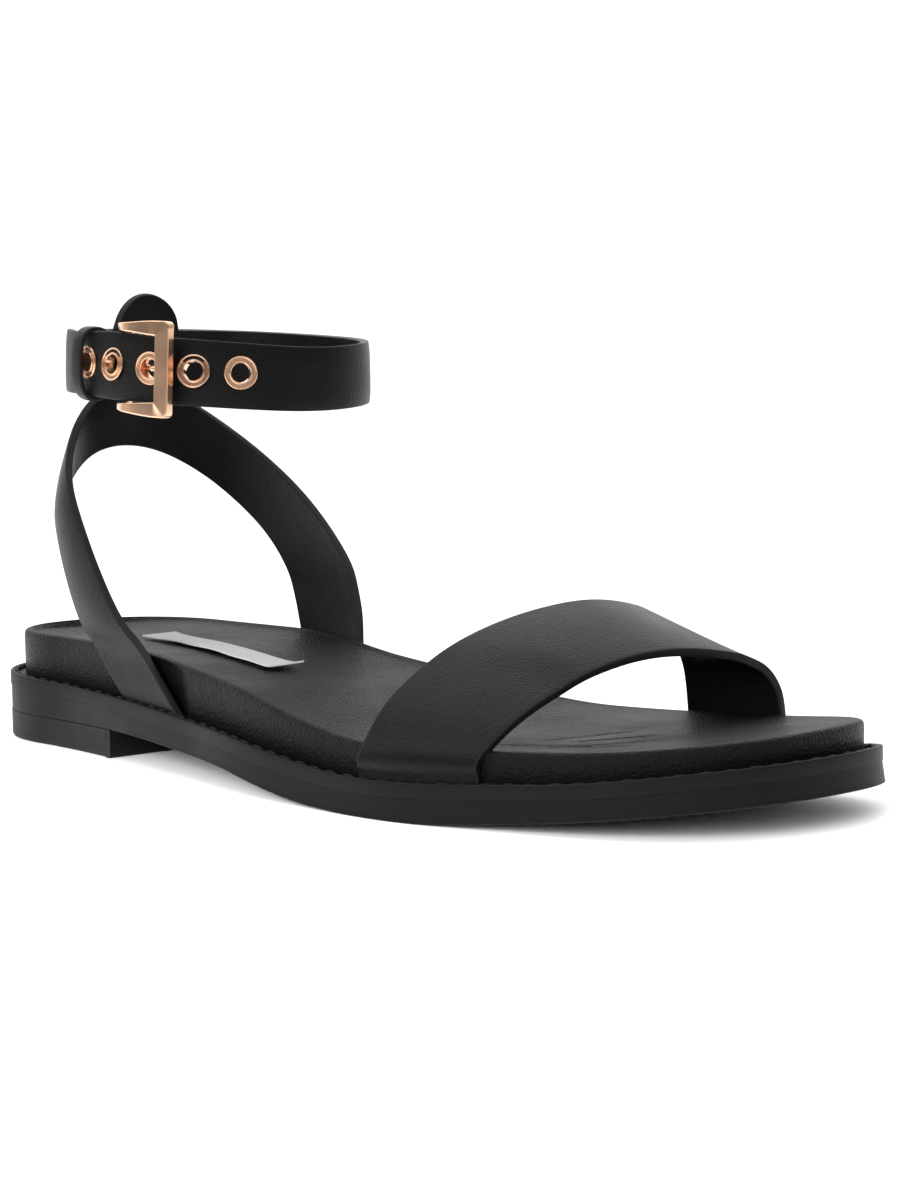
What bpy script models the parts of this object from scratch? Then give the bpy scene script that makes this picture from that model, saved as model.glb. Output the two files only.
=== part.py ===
"""Right-foot flat sandal: welted sole, wrapped footbed, toe band, heel strap and buckled ankle strap.

Sizes are millimetres. X runs from heel to toe, Y towards the inner (medial) side of the foot, Z up.
The finished object is centred over the origin and stands on Z = 0.
"""
import bisect
import math

import bmesh
import bpy
from mathutils import Matrix, Vector

MM = 0.001
SEAM = 0.3  # gap left between two pieces that meet

# Sole
LENGTH = 250.0
TOE_SWING = 10.8  # the toe's end lies this far towards the inner side
HEEL_ROUND = (0.131, 2.2)  # share of the length that the heel's end takes up, and how square it is
LATERAL_ROUND = (0.34, 2.4)
MEDIAL_ROUND = (0.11, 2.2)
STATIONS = 37  # sections along the sole
HEEL_STATIONS = 15  # sections along the heel block
WELT_HEIGHT = 3.2
WELT_RIM = 0.9  # width of the raised outer rim
WELT_CHANNEL = 0.6  # depth of the stitch channel inside the rim
HEEL_BREAST = 66.0  # length of the heel block
OUTSOLE_INSET = 0.3  # the outsole's side stands this far inside the welt's edge
HEEL_RECESS = 0.9  # and this far above the heel block
EDGE_FLARE = 0.8  # the outsole's lower edge stands out this far from its side
FOOTBED_INSET = 3.9
FOOTBED_COLUMNS = 6

# Half widths of the outline on both sides of the axis
OUTLINE = (
    # share of length, lateral, medial
    (0.00, 30.5, 30.0),
    (0.14, 29.5, 30.5),
    (0.28, 32.5, 32.0),
    (0.42, 38.5, 28.0),
    (0.56, 45.0, 30.0),
    (0.70, 46.5, 34.5),
    (0.84, 43.5, 37.0),
    (1.00, 45.5, 38.0),
)
# Heights of the welt's rim and of the footbed's top edge on both sides, and depth of the footbed's hollow
PROFILE = (
    # share of length, rim, lateral edge, medial edge, hollow
    (0.00, 16.6, 25.8, 25.6, 1.2),
    (0.25, 14.8, 26.2, 26.1, 1.8),
    (0.47, 12.3, 22.5, 21.3, 1.2),
    (0.68, 7.9, 14.7, 15.5, 0.4),
    (0.85, 9.9, 15.4, 16.1, 0.2),
    (1.00, 14.6, 18.3, 19.0, 0.0),
)
# Underside of the outsole: raised over the heel block, arched at the waist, flat at the ball, then sprung
UNDERSIDE = (
    # share of length, height
    (0.00, 6.7),
    (0.27, 6.7),
    (0.47, 4.8),
    (0.61, 0.0),
    (0.73, 0.0),
    (0.85, 2.2),
    (1.00, 6.8),
)
# How much of the recess over the heel block is left
RECESS = (
    # share of length, share of the recess
    (0.00, 1.0),
    (0.26, 1.0),
    (0.32, 0.0),
    (1.00, 0.0),
)
# Rings of each layer from its underside up
OUTSOLE_RINGS = (
    # bevel, height over the underside
    (0.9, 0.0),
    (0.0, 0.6),
    (0.0, 1.2),
)
OUTSOLE_FLARE_TOP = 2.0  # the flare ends at this height over the underside
HEEL_RINGS = (
    # inset, share of the height
    (0.9, 0.0),
    (0.2, 0.14),
    (0.1, 0.88),
    (0.5, 1.0),
)
WELT_RINGS = (
    # inset, drop from the rim
    (0.5, WELT_HEIGHT),
    (0.0, WELT_HEIGHT - 0.5),
    (0.0, 0.5),
    (0.3, 0.0),
    (WELT_RIM, 0.0),
    (WELT_RIM + 0.3, WELT_CHANNEL),
    (FOOTBED_INSET, WELT_CHANNEL),
)
FOOTBED_BASE = (
    # inset, height over the welt
    (FOOTBED_INSET + 0.4, SEAM),
    (FOOTBED_INSET, SEAM + 0.5),
)
FOOTBED_SHOULDER = (
    # inset, drop from the top edge
    (FOOTBED_INSET, 1.7),
    (FOOTBED_INSET + 0.5, 0.7),
    (FOOTBED_INSET + 1.5, 0.1),
)
FOOTBED_RIM = FOOTBED_INSET + 3.0  # the hollowed top begins at this inset

# Straps
STRAP = 1.9  # thickness of the leather
STRAP_SEAT = 1.5  # the straps' outer faces stand this far inside the welt's edge
STRAP_COLUMNS = 4
TOE_BAND_STEPS = 40
TOE_BAND_CROWN = 0.8  # the band stands out this far between its edges
# Outer face of the toe band over the foot, from the lateral to the medial side: rear edge, then front edge
TOE_BAND = (
    # rear x, y, z, front x, y, z
    (170.5, -33.5, 22.0, 200.7, -27.2, 19.6),
    (173.0, -22.5, 30.2, 202.4, -18.0, 25.0),
    (175.6, -11.3, 35.7, 204.4, -7.0, 29.6),
    (178.6, 2.0, 39.8, 206.6, 4.5, 32.2),
    (181.6, 14.8, 40.7, 208.6, 15.8, 32.7),
    (184.0, 26.0, 37.9, 210.2, 27.8, 31.1),
    (185.6, 34.4, 33.2, 211.1, 36.6, 27.2),
    (186.6, 38.6, 26.4, 211.6, 41.6, 21.0),
)
TOE_BAND_LATERAL = (169.0, 199.5)  # where the band's rear and front edges meet the welt
TOE_BAND_MEDIAL = (187.0, 211.7)
TOE_BAND_RISES = (0.0, 5.0)  # the band stands close to the footbed's side up to here
HEEL_STRAP_STEPS = 64
HEEL_STRAP_CROWN = 0.5
# Outer face of the heel strap's legs from above the footbed towards the back: lower edge, then upper edge.
# Y is the distance from the shoe's middle.
HEEL_STRAP_LATERAL = (
    # lower x, y, z, upper x, y, z
    (53.4, 30.6, 31.0, 72.2, 32.3, 32.2),
    (50.2, 32.1, 40.9, 63.8, 33.0, 44.3),
    (47.2, 32.4, 50.3, 57.6, 33.5, 56.0),
    (40.6, 28.8, 59.0, 49.4, 31.0, 66.0),
    (33.8, 19.0, 66.6, 40.4, 23.2, 76.4),
    (30.6, 10.5, 70.8, 35.0, 13.0, 84.6),
)
HEEL_STRAP_MEDIAL = (
    # lower x, y, z, upper x, y, z
    (60.0, 31.4, 27.5, 82.4, 32.9, 29.0),
    (56.0, 33.1, 33.2, 77.6, 35.1, 37.0),
    (51.4, 34.5, 40.0, 73.4, 36.0, 43.7),
    (43.0, 33.5, 50.0, 60.4, 35.0, 57.1),
    (36.0, 27.3, 59.0, 48.4, 30.3, 68.3),
    (32.4, 19.5, 65.2, 40.6, 22.6, 77.0),
    (29.9, 9.5, 70.2, 34.8, 12.0, 85.0),
)
HEEL_STRAP_BACK = (28.5, 0.0, 72.0, 32.5, 0.0, 89.0)
# Feet of the heel strap, close to the footbed's side: how far each edge has risen from the welt
LATERAL_FOOT = (
    # lower x, rise, upper x, rise
    (75.0, 0.0, 96.4, 0.0),
    (62.8, 7.0, 86.8, 6.6),
    (55.4, 12.2, 77.8, 13.2),
)
MEDIAL_FOOT = (
    # lower x, rise, upper x, rise
    (68.5, 0.0, 91.0, 0.0),
    (63.5, 6.5, 86.5, 7.0),
)
# Back tab above the heel strap: outer face
BACK_TAB = (
    # height, half width
    (80.0, 9.3),
    (90.0, 9.3),
    (100.0, 9.1),
    (103.5, 8.1),
    (106.4, 6.1),
    (108.3, 3.4),
    (109.0, 0.8),
)
BACK_TAB_MIDDLE = 1.7  # the tab's middle lies this far towards the inner side
BACK_TAB_STEPS = 22
BACK_TAB_COLUMNS = 6
BACK_LEAN = 0.235  # the back of the heel leans forward this much for each millimetre up
BACK_BEND = 30.0  # radius of the tab across the heel

# Ankle strap: a loop round the ankle, whose tail lies outside its buckle end
ANKLE_MIDDLE = (66.6, 2.0, 91.2)
ANKLE_RADII = (36.6, 33.7)
ANKLE_SQUARE = 2.3
ANKLE_SLOPE = (-0.058, -0.004)  # rise along X and along Y
ANKLE_WIDTH = 14.8
ANKLE_LAYER_GAP = 0.6
ANKLE_STEPS = 104
BUCKLE_ANGLE = math.radians(292.5)  # where the buckle sits on the loop
BUCKLE_END = -12.3  # lengths along the strap are measured forward from the buckle
TAIL_END = -47.0
LAYER_RAMP = (-150.0, -85.0)  # stretch over which the loop steps in to pass under its tail

# Metal on the ankle strap
METAL_LIFT = 0.5  # buckle and eyelets sit this far above the strap's middle
EYELET_FIRST = -20.9
EYELET_PITCH = 10.9
EYELET_COUNT = 5
EYELET_HOLE = 3.1  # radius of the hole punched in the leather
EYELET_STEPS = 20
EYELET_PROFILE = (
    # radius, height over the leather
    (2.2, 0.55),
    (2.6, 0.9),
    (3.1, 0.65),
    (3.7, 0.9),
    (4.2, 0.6),
    (4.2, SEAM),
    (2.75, SEAM),
    (2.75, -1.95),
    (2.2, -1.95),
)
# Upper half of the buckle's frame, from the middle of its front bar round to the middle of its pivot bar
BUCKLE_FRAME = (
    # along the strap, up, out, width, depth
    (7.0, 0.0, 3.6, 3.6, 2.4),
    (7.0, 6.8, 3.6, 3.6, 2.4),
    (6.8, 8.8, 3.55, 3.4, 2.3),
    (5.7, 9.95, 3.4, 3.1, 2.2),
    (2.8, 10.0, 3.0, 2.7, 2.0),
    (-3.0, 9.6, 1.8, 2.2, 1.8),
    (-7.4, 9.4, -0.8, 1.8, 1.7),
    (-9.3, 9.3, -4.2, 1.8, 1.7),
    (-9.7, 7.6, -6.0, 1.8, 1.8),
    (-9.7, 0.0, -6.0, 1.8, 1.8),
)
BUCKLE_CORNER = 0.35  # share of a half width that the frame's edges are rounded by
PRONG_RADIUS = 0.6
PRONG = (
    # along the strap, out
    (-8.0, -5.7),
    (-4.4, -4.3),
    (-1.4, -3.0),
    (-0.2, -1.9),
    (0.9, -0.4),
    (2.0, 1.0),
    (3.4, 1.7),
    (7.2, 1.65),
)
KEEPER_PLACE = -22.9
KEEPER_LENGTH = 4.4
KEEPER_WALL = 1.1
KEEPER_OUTSIDE = 1.25  # room over the tail, for the eyelet that the loop half covers
KEEPER_INSIDE = 0.8
KEEPER_EDGE = 0.4  # room over the strap's two edges
KEEPER_ROUND = 1.6

# Label on the footbed
LABEL_SIZE = (62.0, 11.2, 0.6)
LABEL_PLACE = (75.2, -5.4)
LABEL_TURN = math.radians(-7.2)
LABEL_GRID = (12, 3)

SHARP_ANGLE = math.radians(35.0)
FINISHES = {
    # colour, roughness, metallic
    "leather": ((0.012, 0.012, 0.013), 0.45, 0.0),
    "rubber": ((0.018, 0.018, 0.019), 0.55, 0.0),
    "rose gold": ((0.80, 0.47, 0.28), 0.22, 1.0),
    "label weave": ((0.78, 0.78, 0.76), 0.8, 0.0),
}


def smooth(rows, column):
    """Returns a cubic through one column of a table that never overshoots its rows."""
    keys = [row[0] for row in rows]
    values = [row[column] for row in rows]
    steps = [b - a for a, b in zip(keys, keys[1:])]
    slopes = [(b - a) / h for a, b, h in zip(values, values[1:], steps)]
    tangents = [slopes[0]]
    for left, right in zip(slopes, slopes[1:]):
        tangents.append(2 * left * right / (left + right) if left * right > 0 else 0.0)
    tangents.append(slopes[-1])

    def at(key):
        key = min(max(key, keys[0]), keys[-1])
        i = min(bisect.bisect_right(keys, key), len(steps)) - 1
        s = (key - keys[i]) / steps[i]
        start = values[i] * (1 + 2 * s) * (1 - s) ** 2 + tangents[i] * steps[i] * s * (1 - s) ** 2
        end = values[i + 1] * (3 - 2 * s) * s ** 2 + tangents[i + 1] * steps[i] * (s - 1) * s ** 2
        return start + end

    return at


def spline(rows, share):
    """Reads all columns of a table at a share of its length, on a Catmull-Rom curve through the rows."""
    last = len(rows) - 1
    place = min(max(share, 0.0), 1.0) * last
    i = min(int(place), last - 1)
    s = place - i
    before, a, b, after = (rows[min(max(k, 0), last)] for k in (i - 1, i, i + 1, i + 2))
    return [
        0.5 * (2 * q + (r - p) * s + (2 * p - 5 * q + 4 * r - t) * s ** 2 + (3 * q - p - 3 * r + t) * s ** 3)
        for p, q, r, t in zip(before, a, b, after)
    ]


lateral_width = smooth(OUTLINE, 1)
medial_width = smooth(OUTLINE, 2)
rim_height = smooth(PROFILE, 1)
lateral_edge = smooth(PROFILE, 2)
medial_edge = smooth(PROFILE, 3)
hollow = smooth(PROFILE, 4)
underside = smooth(UNDERSIDE, 1)
recess = smooth(RECESS, 1)


def end_round(share, heel, toe):
    """Narrows the outline to nothing over its heel end and its toe end."""
    rounding = 1.0
    for reach, power, depth in ((*heel, heel[0] - share), (*toe, share - 1.0 + toe[0])):
        if depth > 0:
            rounding *= max(1.0 - (depth / reach) ** power, 0.0) ** (1.0 / power)
    return rounding


def outline(share, side):
    """Point on the sole's edge; side is -1 on the lateral and 1 on the medial side."""
    width, toe = (lateral_width, LATERAL_ROUND) if side < 0 else (medial_width, MEDIAL_ROUND)
    half = width(share) * end_round(share, HEEL_ROUND, toe)
    return Vector((LENGTH * share, TOE_SWING * share ** 2 + side * half))


def inset_ring(points, inset):
    """Moves a closed ring of plan points inwards."""
    moved = []
    for i, point in enumerate(points):
        along = (points[(i + 1) % len(points)] - points[i - 1]).normalized()
        moved.append(point + inset(point.x / LENGTH) * Vector((-along.y, along.x)))
    return moved


def ring_at(points, inset, height):
    """Lifts an inset ring of plan points to its heights."""
    depth = inset if callable(inset) else lambda share: inset
    return [(p.x, p.y, height(p.x / LENGTH, p.y)) for p in inset_ring(points, depth)]


def sole_ring(inset, height):
    """Ring round the sole: heel end, lateral side forwards, toe end, medial side back."""
    shares = [(1 - math.cos(math.pi * i / (STATIONS - 1))) / 2 for i in range(STATIONS)]
    points = [outline(s, -1) for s in shares] + [outline(s, 1) for s in reversed(shares[1:-1])]
    return ring_at(points, inset, height)


def heel_ring(inset, height):
    """Ring round the heel block: heel end, lateral side to the breast, straight across, medial side back."""
    reach = HEEL_BREAST / LENGTH
    shares = [reach * (1 - math.cos(math.pi / 2 * i / (HEEL_STATIONS - 1))) for i in range(HEEL_STATIONS)]
    points = [outline(s, -1) for s in shares] + [outline(s, 1) for s in reversed(shares[1:])]
    return ring_at(points, inset, height)


def on_sole(share, side, inset):
    """Plan point at an inset from the sole's edge."""
    step = 0.004
    along = (outline(share + step, side) - outline(share - step, side)).normalized()
    return outline(share, side) - side * inset * Vector((-along.y, along.x))


def footbed_edge(share, y):
    """Height of the footbed's top edge, blended from the lateral to the medial side."""
    blend = min(max((y + 20.0) / 40.0, 0.0), 1.0)
    return lateral_edge(share) * (1 - blend) + medial_edge(share) * blend


def footbed_top(share, y):
    """Height of the footbed's hollowed top."""
    low, high = outline(share, -1).y, outline(share, 1).y
    across = (2 * y - low - high) / max(high - low, 1.0)
    return footbed_edge(share, y) - hollow(share) * max(1.0 - across ** 2, 0.0)


def channel_floor(share):
    """Height of the welt's top inside its rim."""
    return rim_height(share) - WELT_CHANNEL


def new_material(name):
    colour, roughness, metallic = FINISHES[name]
    material = bpy.data.materials.new(name)
    material.use_nodes = True
    shader = material.node_tree.nodes["Principled BSDF"]
    shader.inputs["Base Color"].default_value = (*colour, 1.0)
    shader.inputs["Roughness"].default_value = roughness
    shader.inputs["Metallic"].default_value = metallic
    return material


def add_object(name, data, finish, collection, root):
    """Places mesh or curve data in a collection, under the root empty."""
    data.materials.append(new_material(finish))
    piece = bpy.data.objects.new(name, data)
    collection.objects.link(piece)
    piece.parent = root
    return piece


def to_mesh(name, shape):
    """Turns a bmesh in millimetres into a smooth-shaded mesh in metres."""
    bmesh.ops.scale(shape, vec=(MM, MM, MM), verts=shape.verts)
    mesh = bpy.data.meshes.new(name)
    shape.to_mesh(mesh)
    shape.free()
    mesh.shade_smooth()
    mesh.set_sharp_from_angle(angle=SHARP_ANGLE)
    return mesh


def cap(shape, ring, columns, height):
    """Closes a ring with strips from its lateral to its medial side; a heel ring has no point at the toe."""
    rows = []
    for i in range(1, (len(ring) + 1) // 2):
        left, right = ring[i], ring[-i]
        row = [left]
        for k in range(1, columns):
            x, y, z = left.co.lerp(right.co, k / columns)
            row.append(shape.verts.new((x, y, height(x / LENGTH, y) if height else z)))
        rows.append(row + [right])
    for a, b in zip(rows, rows[1:]):
        for k in range(columns):
            shape.faces.new((a[k], a[k + 1], b[k + 1], b[k]))
    tips = [(ring[0], rows[0])]
    if len(ring) % 2 == 0:
        tips.append((ring[len(ring) // 2], rows[-1]))
    for tip, row in tips:
        for k in range(columns):
            shape.faces.new((tip, row[k], row[k + 1]))


def sole_solid(name, rings, top_columns=1, top_height=None):
    """Joins rings from the underside to the top into one closed solid."""
    shape = bmesh.new()
    loops = [[shape.verts.new(point) for point in ring] for ring in rings]
    for low, high in zip(loops, loops[1:]):
        for i in range(len(low)):
            shape.faces.new((low[i - 1], low[i], high[i], high[i - 1]))
    cap(shape, loops[0], 1, None)
    cap(shape, loops[-1], top_columns, top_height)
    bmesh.ops.recalc_face_normals(shape, faces=shape.faces)
    return to_mesh(name, shape)


def make_outsole():
    """Rubber layer with the arch, the toe spring, a flared lower edge and a step in over the heel."""
    def side(share):
        return OUTSOLE_INSET + (HEEL_RECESS - OUTSOLE_INSET) * recess(share)

    def lower(bevel):
        return lambda share: side(share) - EDGE_FLARE * (1 - recess(share)) + bevel

    def above(lift):
        return lambda share, y: underside(share) + lift

    rings = [sole_ring(lower(bevel), above(lift)) for bevel, lift in OUTSOLE_RINGS]
    rings.append(sole_ring(side, above(OUTSOLE_FLARE_TOP)))
    rings.append(sole_ring(side, lambda share, y: rim_height(share) - WELT_HEIGHT - SEAM))
    return sole_solid("outsole", rings)


def make_heel_block():
    """Low heel that follows the outline and ends in a square breast."""
    def part_way(portion):
        return lambda share, y: (underside(share) - SEAM) * portion

    return sole_solid("heel_block", [heel_ring(inset, part_way(portion)) for inset, portion in HEEL_RINGS])


def make_welt():
    """Band over the outsole with a raised rim and, inside it, a channel for the stitches."""
    def below(drop):
        return lambda share, y: rim_height(share) - drop

    return sole_solid("welt", [sole_ring(inset, below(drop)) for inset, drop in WELT_RINGS])


def make_footbed():
    """Padded, leather-wrapped footbed with a rounded top edge and a cupped heel."""
    def over_welt(lift):
        return lambda share, y: channel_floor(share) + lift

    def below_edge(drop):
        return lambda share, y: footbed_edge(share, y) - drop

    rings = [sole_ring(inset, over_welt(lift)) for inset, lift in FOOTBED_BASE]
    rings += [sole_ring(inset, below_edge(drop)) for inset, drop in FOOTBED_SHOULDER]
    rings.append(sole_ring(FOOTBED_RIM, footbed_top))
    return sole_solid("footbed", rings, FOOTBED_COLUMNS, footbed_top)


def grid_mesh(name, grid):
    """Open surface through rows of points, facing out where columns and then rows run anticlockwise."""
    shape = bmesh.new()
    verts = [[shape.verts.new(point) for point in row] for row in grid]
    for a, b in zip(verts, verts[1:]):
        for k in range(len(a) - 1):
            shape.faces.new((a[k], a[k + 1], b[k + 1], b[k]))
    return to_mesh(name, shape)


def thicken(piece, thickness, offset=-1.0):
    """Gives an open surface the leather's thickness, behind its outer face."""
    wall = piece.modifiers.new("Leather", "SOLIDIFY")
    wall.thickness = thickness * MM
    wall.offset = offset
    wall.use_even_offset = True


def strap_foot(places, side):
    """Row of a strap beside the footbed: both edges at one inset from the sole's edge, risen from the welt.

    Its crown is how far the sole's edge bulges between the two.
    """
    row = []
    for x, rise in places:
        place = on_sole(x / LENGTH, side, STRAP_SEAT)
        row += [place.x, place.y, channel_floor(x / LENGTH) + SEAM + rise]
    low, high = Vector(row[0:2]), Vector(row[3:5])
    outward = side * Vector((low.y - high.y, high.x - low.x)).normalized()
    middle = on_sole((places[0][0] + places[1][0]) / 2 / LENGTH, side, STRAP_SEAT)
    return row + [(middle - (low + high) / 2).dot(outward)]


def strap_grid(rows, steps):
    """Points over a strap's outer face, read smoothly from its rows and crowned between its two edges."""
    sections = []
    for i in range(steps + 1):
        values = spline(rows, i / steps)
        sections.append((Vector(values[:3]), Vector(values[3:6]), values[6]))
    middles = [(low + high) / 2 for low, high, crown in sections]
    grid = []
    for i, (low, high, crown) in enumerate(sections):
        along = middles[min(i + 1, steps)] - middles[max(i - 1, 0)]
        outward = (high - low).cross(along).normalized()
        row = []
        for k in range(STRAP_COLUMNS + 1):
            across = k / STRAP_COLUMNS
            row.append(low.lerp(high, across) + outward * crown * (1 - (2 * across - 1) ** 2))
        grid.append(row)
    return grid


def make_toe_band():
    """Wide strap over the forefoot, which stands on the welt on both sides."""
    lateral = [strap_foot([(x, rise) for x in TOE_BAND_LATERAL], -1) for rise in TOE_BAND_RISES]
    medial = [strap_foot([(x, rise) for x in TOE_BAND_MEDIAL], 1) for rise in TOE_BAND_RISES]
    rows = [*lateral, *((*row, TOE_BAND_CROWN) for row in TOE_BAND), *reversed(medial)]
    return grid_mesh("toe_band", strap_grid(rows, TOE_BAND_STEPS))


def heel_strap_leg(side, foot, rows):
    """Rows of one leg of the heel strap, from the welt up to the back."""
    leg = [strap_foot((row[:2], row[2:]), side) for row in foot]
    for low_x, low_y, low_z, high_x, high_y, high_z in rows:
        leg.append((low_x, side * low_y, low_z, high_x, side * high_y, high_z, HEEL_STRAP_CROWN))
    return leg


def make_heel_strap():
    """Strap from the lateral side of the welt round the back of the heel to its medial side."""
    lateral = heel_strap_leg(-1, LATERAL_FOOT, HEEL_STRAP_LATERAL)
    medial = heel_strap_leg(1, MEDIAL_FOOT, HEEL_STRAP_MEDIAL)
    rows = [*lateral, (*HEEL_STRAP_BACK, HEEL_STRAP_CROWN), *reversed(medial)]
    return grid_mesh("heel_strap", strap_grid(rows, HEEL_STRAP_STEPS))


def make_back_tab():
    """Rounded tab that carries the heel strap's back on up behind the ankle strap."""
    half_width = smooth(BACK_TAB, 1)
    low, high = BACK_TAB[0][0], BACK_TAB[-1][0]
    back_x, back_z = HEEL_STRAP_BACK[0], HEEL_STRAP_BACK[2]
    grid = []
    for k in range(BACK_TAB_COLUMNS + 1):
        across = 2 * k / BACK_TAB_COLUMNS - 1
        column = []
        for i in range(BACK_TAB_STEPS + 1):
            z = low + (high - low) * math.sin(math.pi / 2 * i / BACK_TAB_STEPS)
            y = across * half_width(z)
            x = back_x + BACK_LEAN * (z - back_z) + y ** 2 / (2 * BACK_BEND)
            column.append((x, y + BACK_TAB_MIDDLE, z))
        grid.append(column)
    return grid_mesh("back_tab", grid)


def loop_point(angle):
    """Plan point on the ankle strap's outer face."""
    x, y = (
        radius * math.copysign(abs(turn) ** (2 / ANKLE_SQUARE), turn)
        for radius, turn in zip(ANKLE_RADII, (math.cos(angle), math.sin(angle)))
    )
    return Vector((ANKLE_MIDDLE[0] + x, ANKLE_MIDDLE[1] + y))


def loop_lengths(samples=1440):
    """Angles round one turn of the loop from the buckle, with the length run at each."""
    angles = [BUCKLE_ANGLE + 2 * math.pi * i / samples for i in range(samples + 1)]
    lengths = [0.0]
    for a, b in zip(angles, angles[1:]):
        lengths.append(lengths[-1] + (loop_point(b) - loop_point(a)).length)
    return angles, lengths


LOOP_ANGLES, LOOP_LENGTHS = loop_lengths()


def loop_frame(length):
    """Place on the ankle strap's outer face, with axes forward along the strap, up and outwards."""
    rest = length % LOOP_LENGTHS[-1]
    i = min(bisect.bisect_right(LOOP_LENGTHS, rest), len(LOOP_ANGLES) - 1)
    share = (rest - LOOP_LENGTHS[i - 1]) / (LOOP_LENGTHS[i] - LOOP_LENGTHS[i - 1])
    angle = LOOP_ANGLES[i - 1] + share * (LOOP_ANGLES[i] - LOOP_ANGLES[i - 1])
    place = loop_point(angle)
    along = (loop_point(angle + 0.02) - loop_point(angle - 0.02)).normalized()
    height = ANKLE_MIDDLE[2] + sum(s * (p - m) for s, p, m in zip(ANKLE_SLOPE, place, ANKLE_MIDDLE))
    forward = Vector((along.x, along.y, along.dot(Vector(ANKLE_SLOPE)))).normalized()
    outward = Vector((along.y, -along.x, 0.0))
    up = outward.cross(forward)
    frame = Matrix((forward, up, outward)).transposed().to_4x4()
    frame.translation = Vector((place.x, place.y, height))
    return frame


def back_lean(length):
    """Forward lean of the ankle strap, full at the back of the heel and none at the sides."""
    frame = loop_frame(length)
    return BACK_LEAN * max(-frame.col[2].x, 0.0) ** 3


def make_ankle_strap():
    """Band from the buckle back round the ankle to its tail, which passes outside its own start."""
    start, end = BUCKLE_END, TAIL_END - LOOP_LENGTHS[-1]
    ramp_end, ramp_start = LAYER_RAMP
    grid = []
    for i in range(ANKLE_STEPS + 1):
        length = start + (end - start) * i / ANKLE_STEPS
        step = min(max((length - ramp_end) / (ramp_start - ramp_end), 0.0), 1.0)
        inward = (STRAP + ANKLE_LAYER_GAP) * step ** 2 * (3 - 2 * step)
        frame = loop_frame(length)
        lean = back_lean(length)
        row = []
        for half in (-ANKLE_WIDTH / 2, ANKLE_WIDTH / 2):
            row.append(frame @ Vector((0.0, half, -inward - lean * half)))
        grid.append(row)
    return grid_mesh("ankle_strap", grid)


def metal_frame(length):
    """Frame on the strap for a metal piece."""
    return loop_frame(length) @ Matrix.Translation((0.0, METAL_LIFT, 0.0))


def eyelet_lengths():
    return [EYELET_FIRST + EYELET_PITCH * i for i in range(EYELET_COUNT)]


def make_punch():
    """Cutters for the eyelet holes, which reach through the tail and stop short of the layer inside it."""
    reach = (1.0, -STRAP - ANKLE_LAYER_GAP / 2)
    shape = bmesh.new()
    for length in eyelet_lengths():
        place = metal_frame(length) @ Matrix.Translation((0.0, 0.0, sum(reach) / 2))
        bmesh.ops.create_cone(
            shape, cap_ends=True, segments=EYELET_STEPS, radius1=EYELET_HOLE, radius2=EYELET_HOLE,
            depth=reach[0] - reach[1], matrix=place)
    return to_mesh("punch", shape)


def metric(frame):
    """The same frame with its place in metres."""
    scaled = frame.copy()
    scaled.translation = frame.translation * MM
    return scaled


def make_eyelet(name):
    """Closed profile of one grommet, turned by a Screw modifier."""
    shape = bmesh.new()
    verts = [shape.verts.new((radius, 0.0, height)) for radius, height in EYELET_PROFILE]
    for a, b in zip(verts, verts[1:] + verts[:1]):
        shape.edges.new((a, b))
    return to_mesh(name, shape)


def turn(piece, steps):
    screw = piece.modifiers.new("Turn", "SCREW")
    screw.steps = steps
    screw.render_steps = steps
    screw.use_merge_vertices = True
    screw.merge_threshold = 0.00001
    screw.use_normal_calculate = False


def frame_section(row, ahead, behind):
    """Eight-sided section of the buckle's frame, square to its path."""
    along = (Vector(ahead[:3]) - Vector(behind[:3])).normalized()
    side = along.cross(Vector((0.0, 0.0, 1.0))).normalized()
    out = side.cross(along)
    centre = Vector(row[:3])
    half_width, half_depth = row[3] / 2, row[4] / 2
    trim = BUCKLE_CORNER * half_depth
    corners = [
        (half_width, half_depth - trim), (half_width - trim, half_depth),
        (trim - half_width, half_depth), (-half_width, half_depth - trim),
        (-half_width, trim - half_depth), (trim - half_width, -half_depth),
        (half_width - trim, -half_depth), (half_width, trim - half_depth),
    ]
    return [centre + side * a + out * b for a, b in corners]


def make_buckle_frame():
    """Upper half of the frame, open at its two ends, where the mirror joins it."""
    shape = bmesh.new()
    rings = []
    last = len(BUCKLE_FRAME) - 1
    for i, row in enumerate(BUCKLE_FRAME):
        ahead, behind = BUCKLE_FRAME[min(i + 1, last)], BUCKLE_FRAME[max(i - 1, 0)]
        rings.append([shape.verts.new(point) for point in frame_section(row, ahead, behind)])
    for a, b in zip(rings, rings[1:]):
        for k in range(len(a)):
            shape.faces.new((a[k], a[k - 1], b[k - 1], b[k]))
    return to_mesh("buckle_frame", shape)


def mirror_up(piece):
    mirror = piece.modifiers.new("Lower half", "MIRROR")
    mirror.use_axis = (False, True, False)
    mirror.merge_threshold = 0.00001


def make_prong():
    """Round prong from the pivot bar, out through its eyelet and under the front bar."""
    curve = bpy.data.curves.new("buckle_prong", "CURVE")
    curve.dimensions = "3D"
    curve.bevel_depth = PRONG_RADIUS * MM
    curve.bevel_resolution = 2
    curve.use_fill_caps = True
    path = curve.splines.new("POLY")
    steps = 4 * (len(PRONG) - 1)
    path.points.add(steps)
    for i, point in enumerate(path.points):
        along, out = spline(PRONG, i / steps)
        point.co = (along * MM, 0.0, out * MM, 1.0)
    return curve


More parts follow.
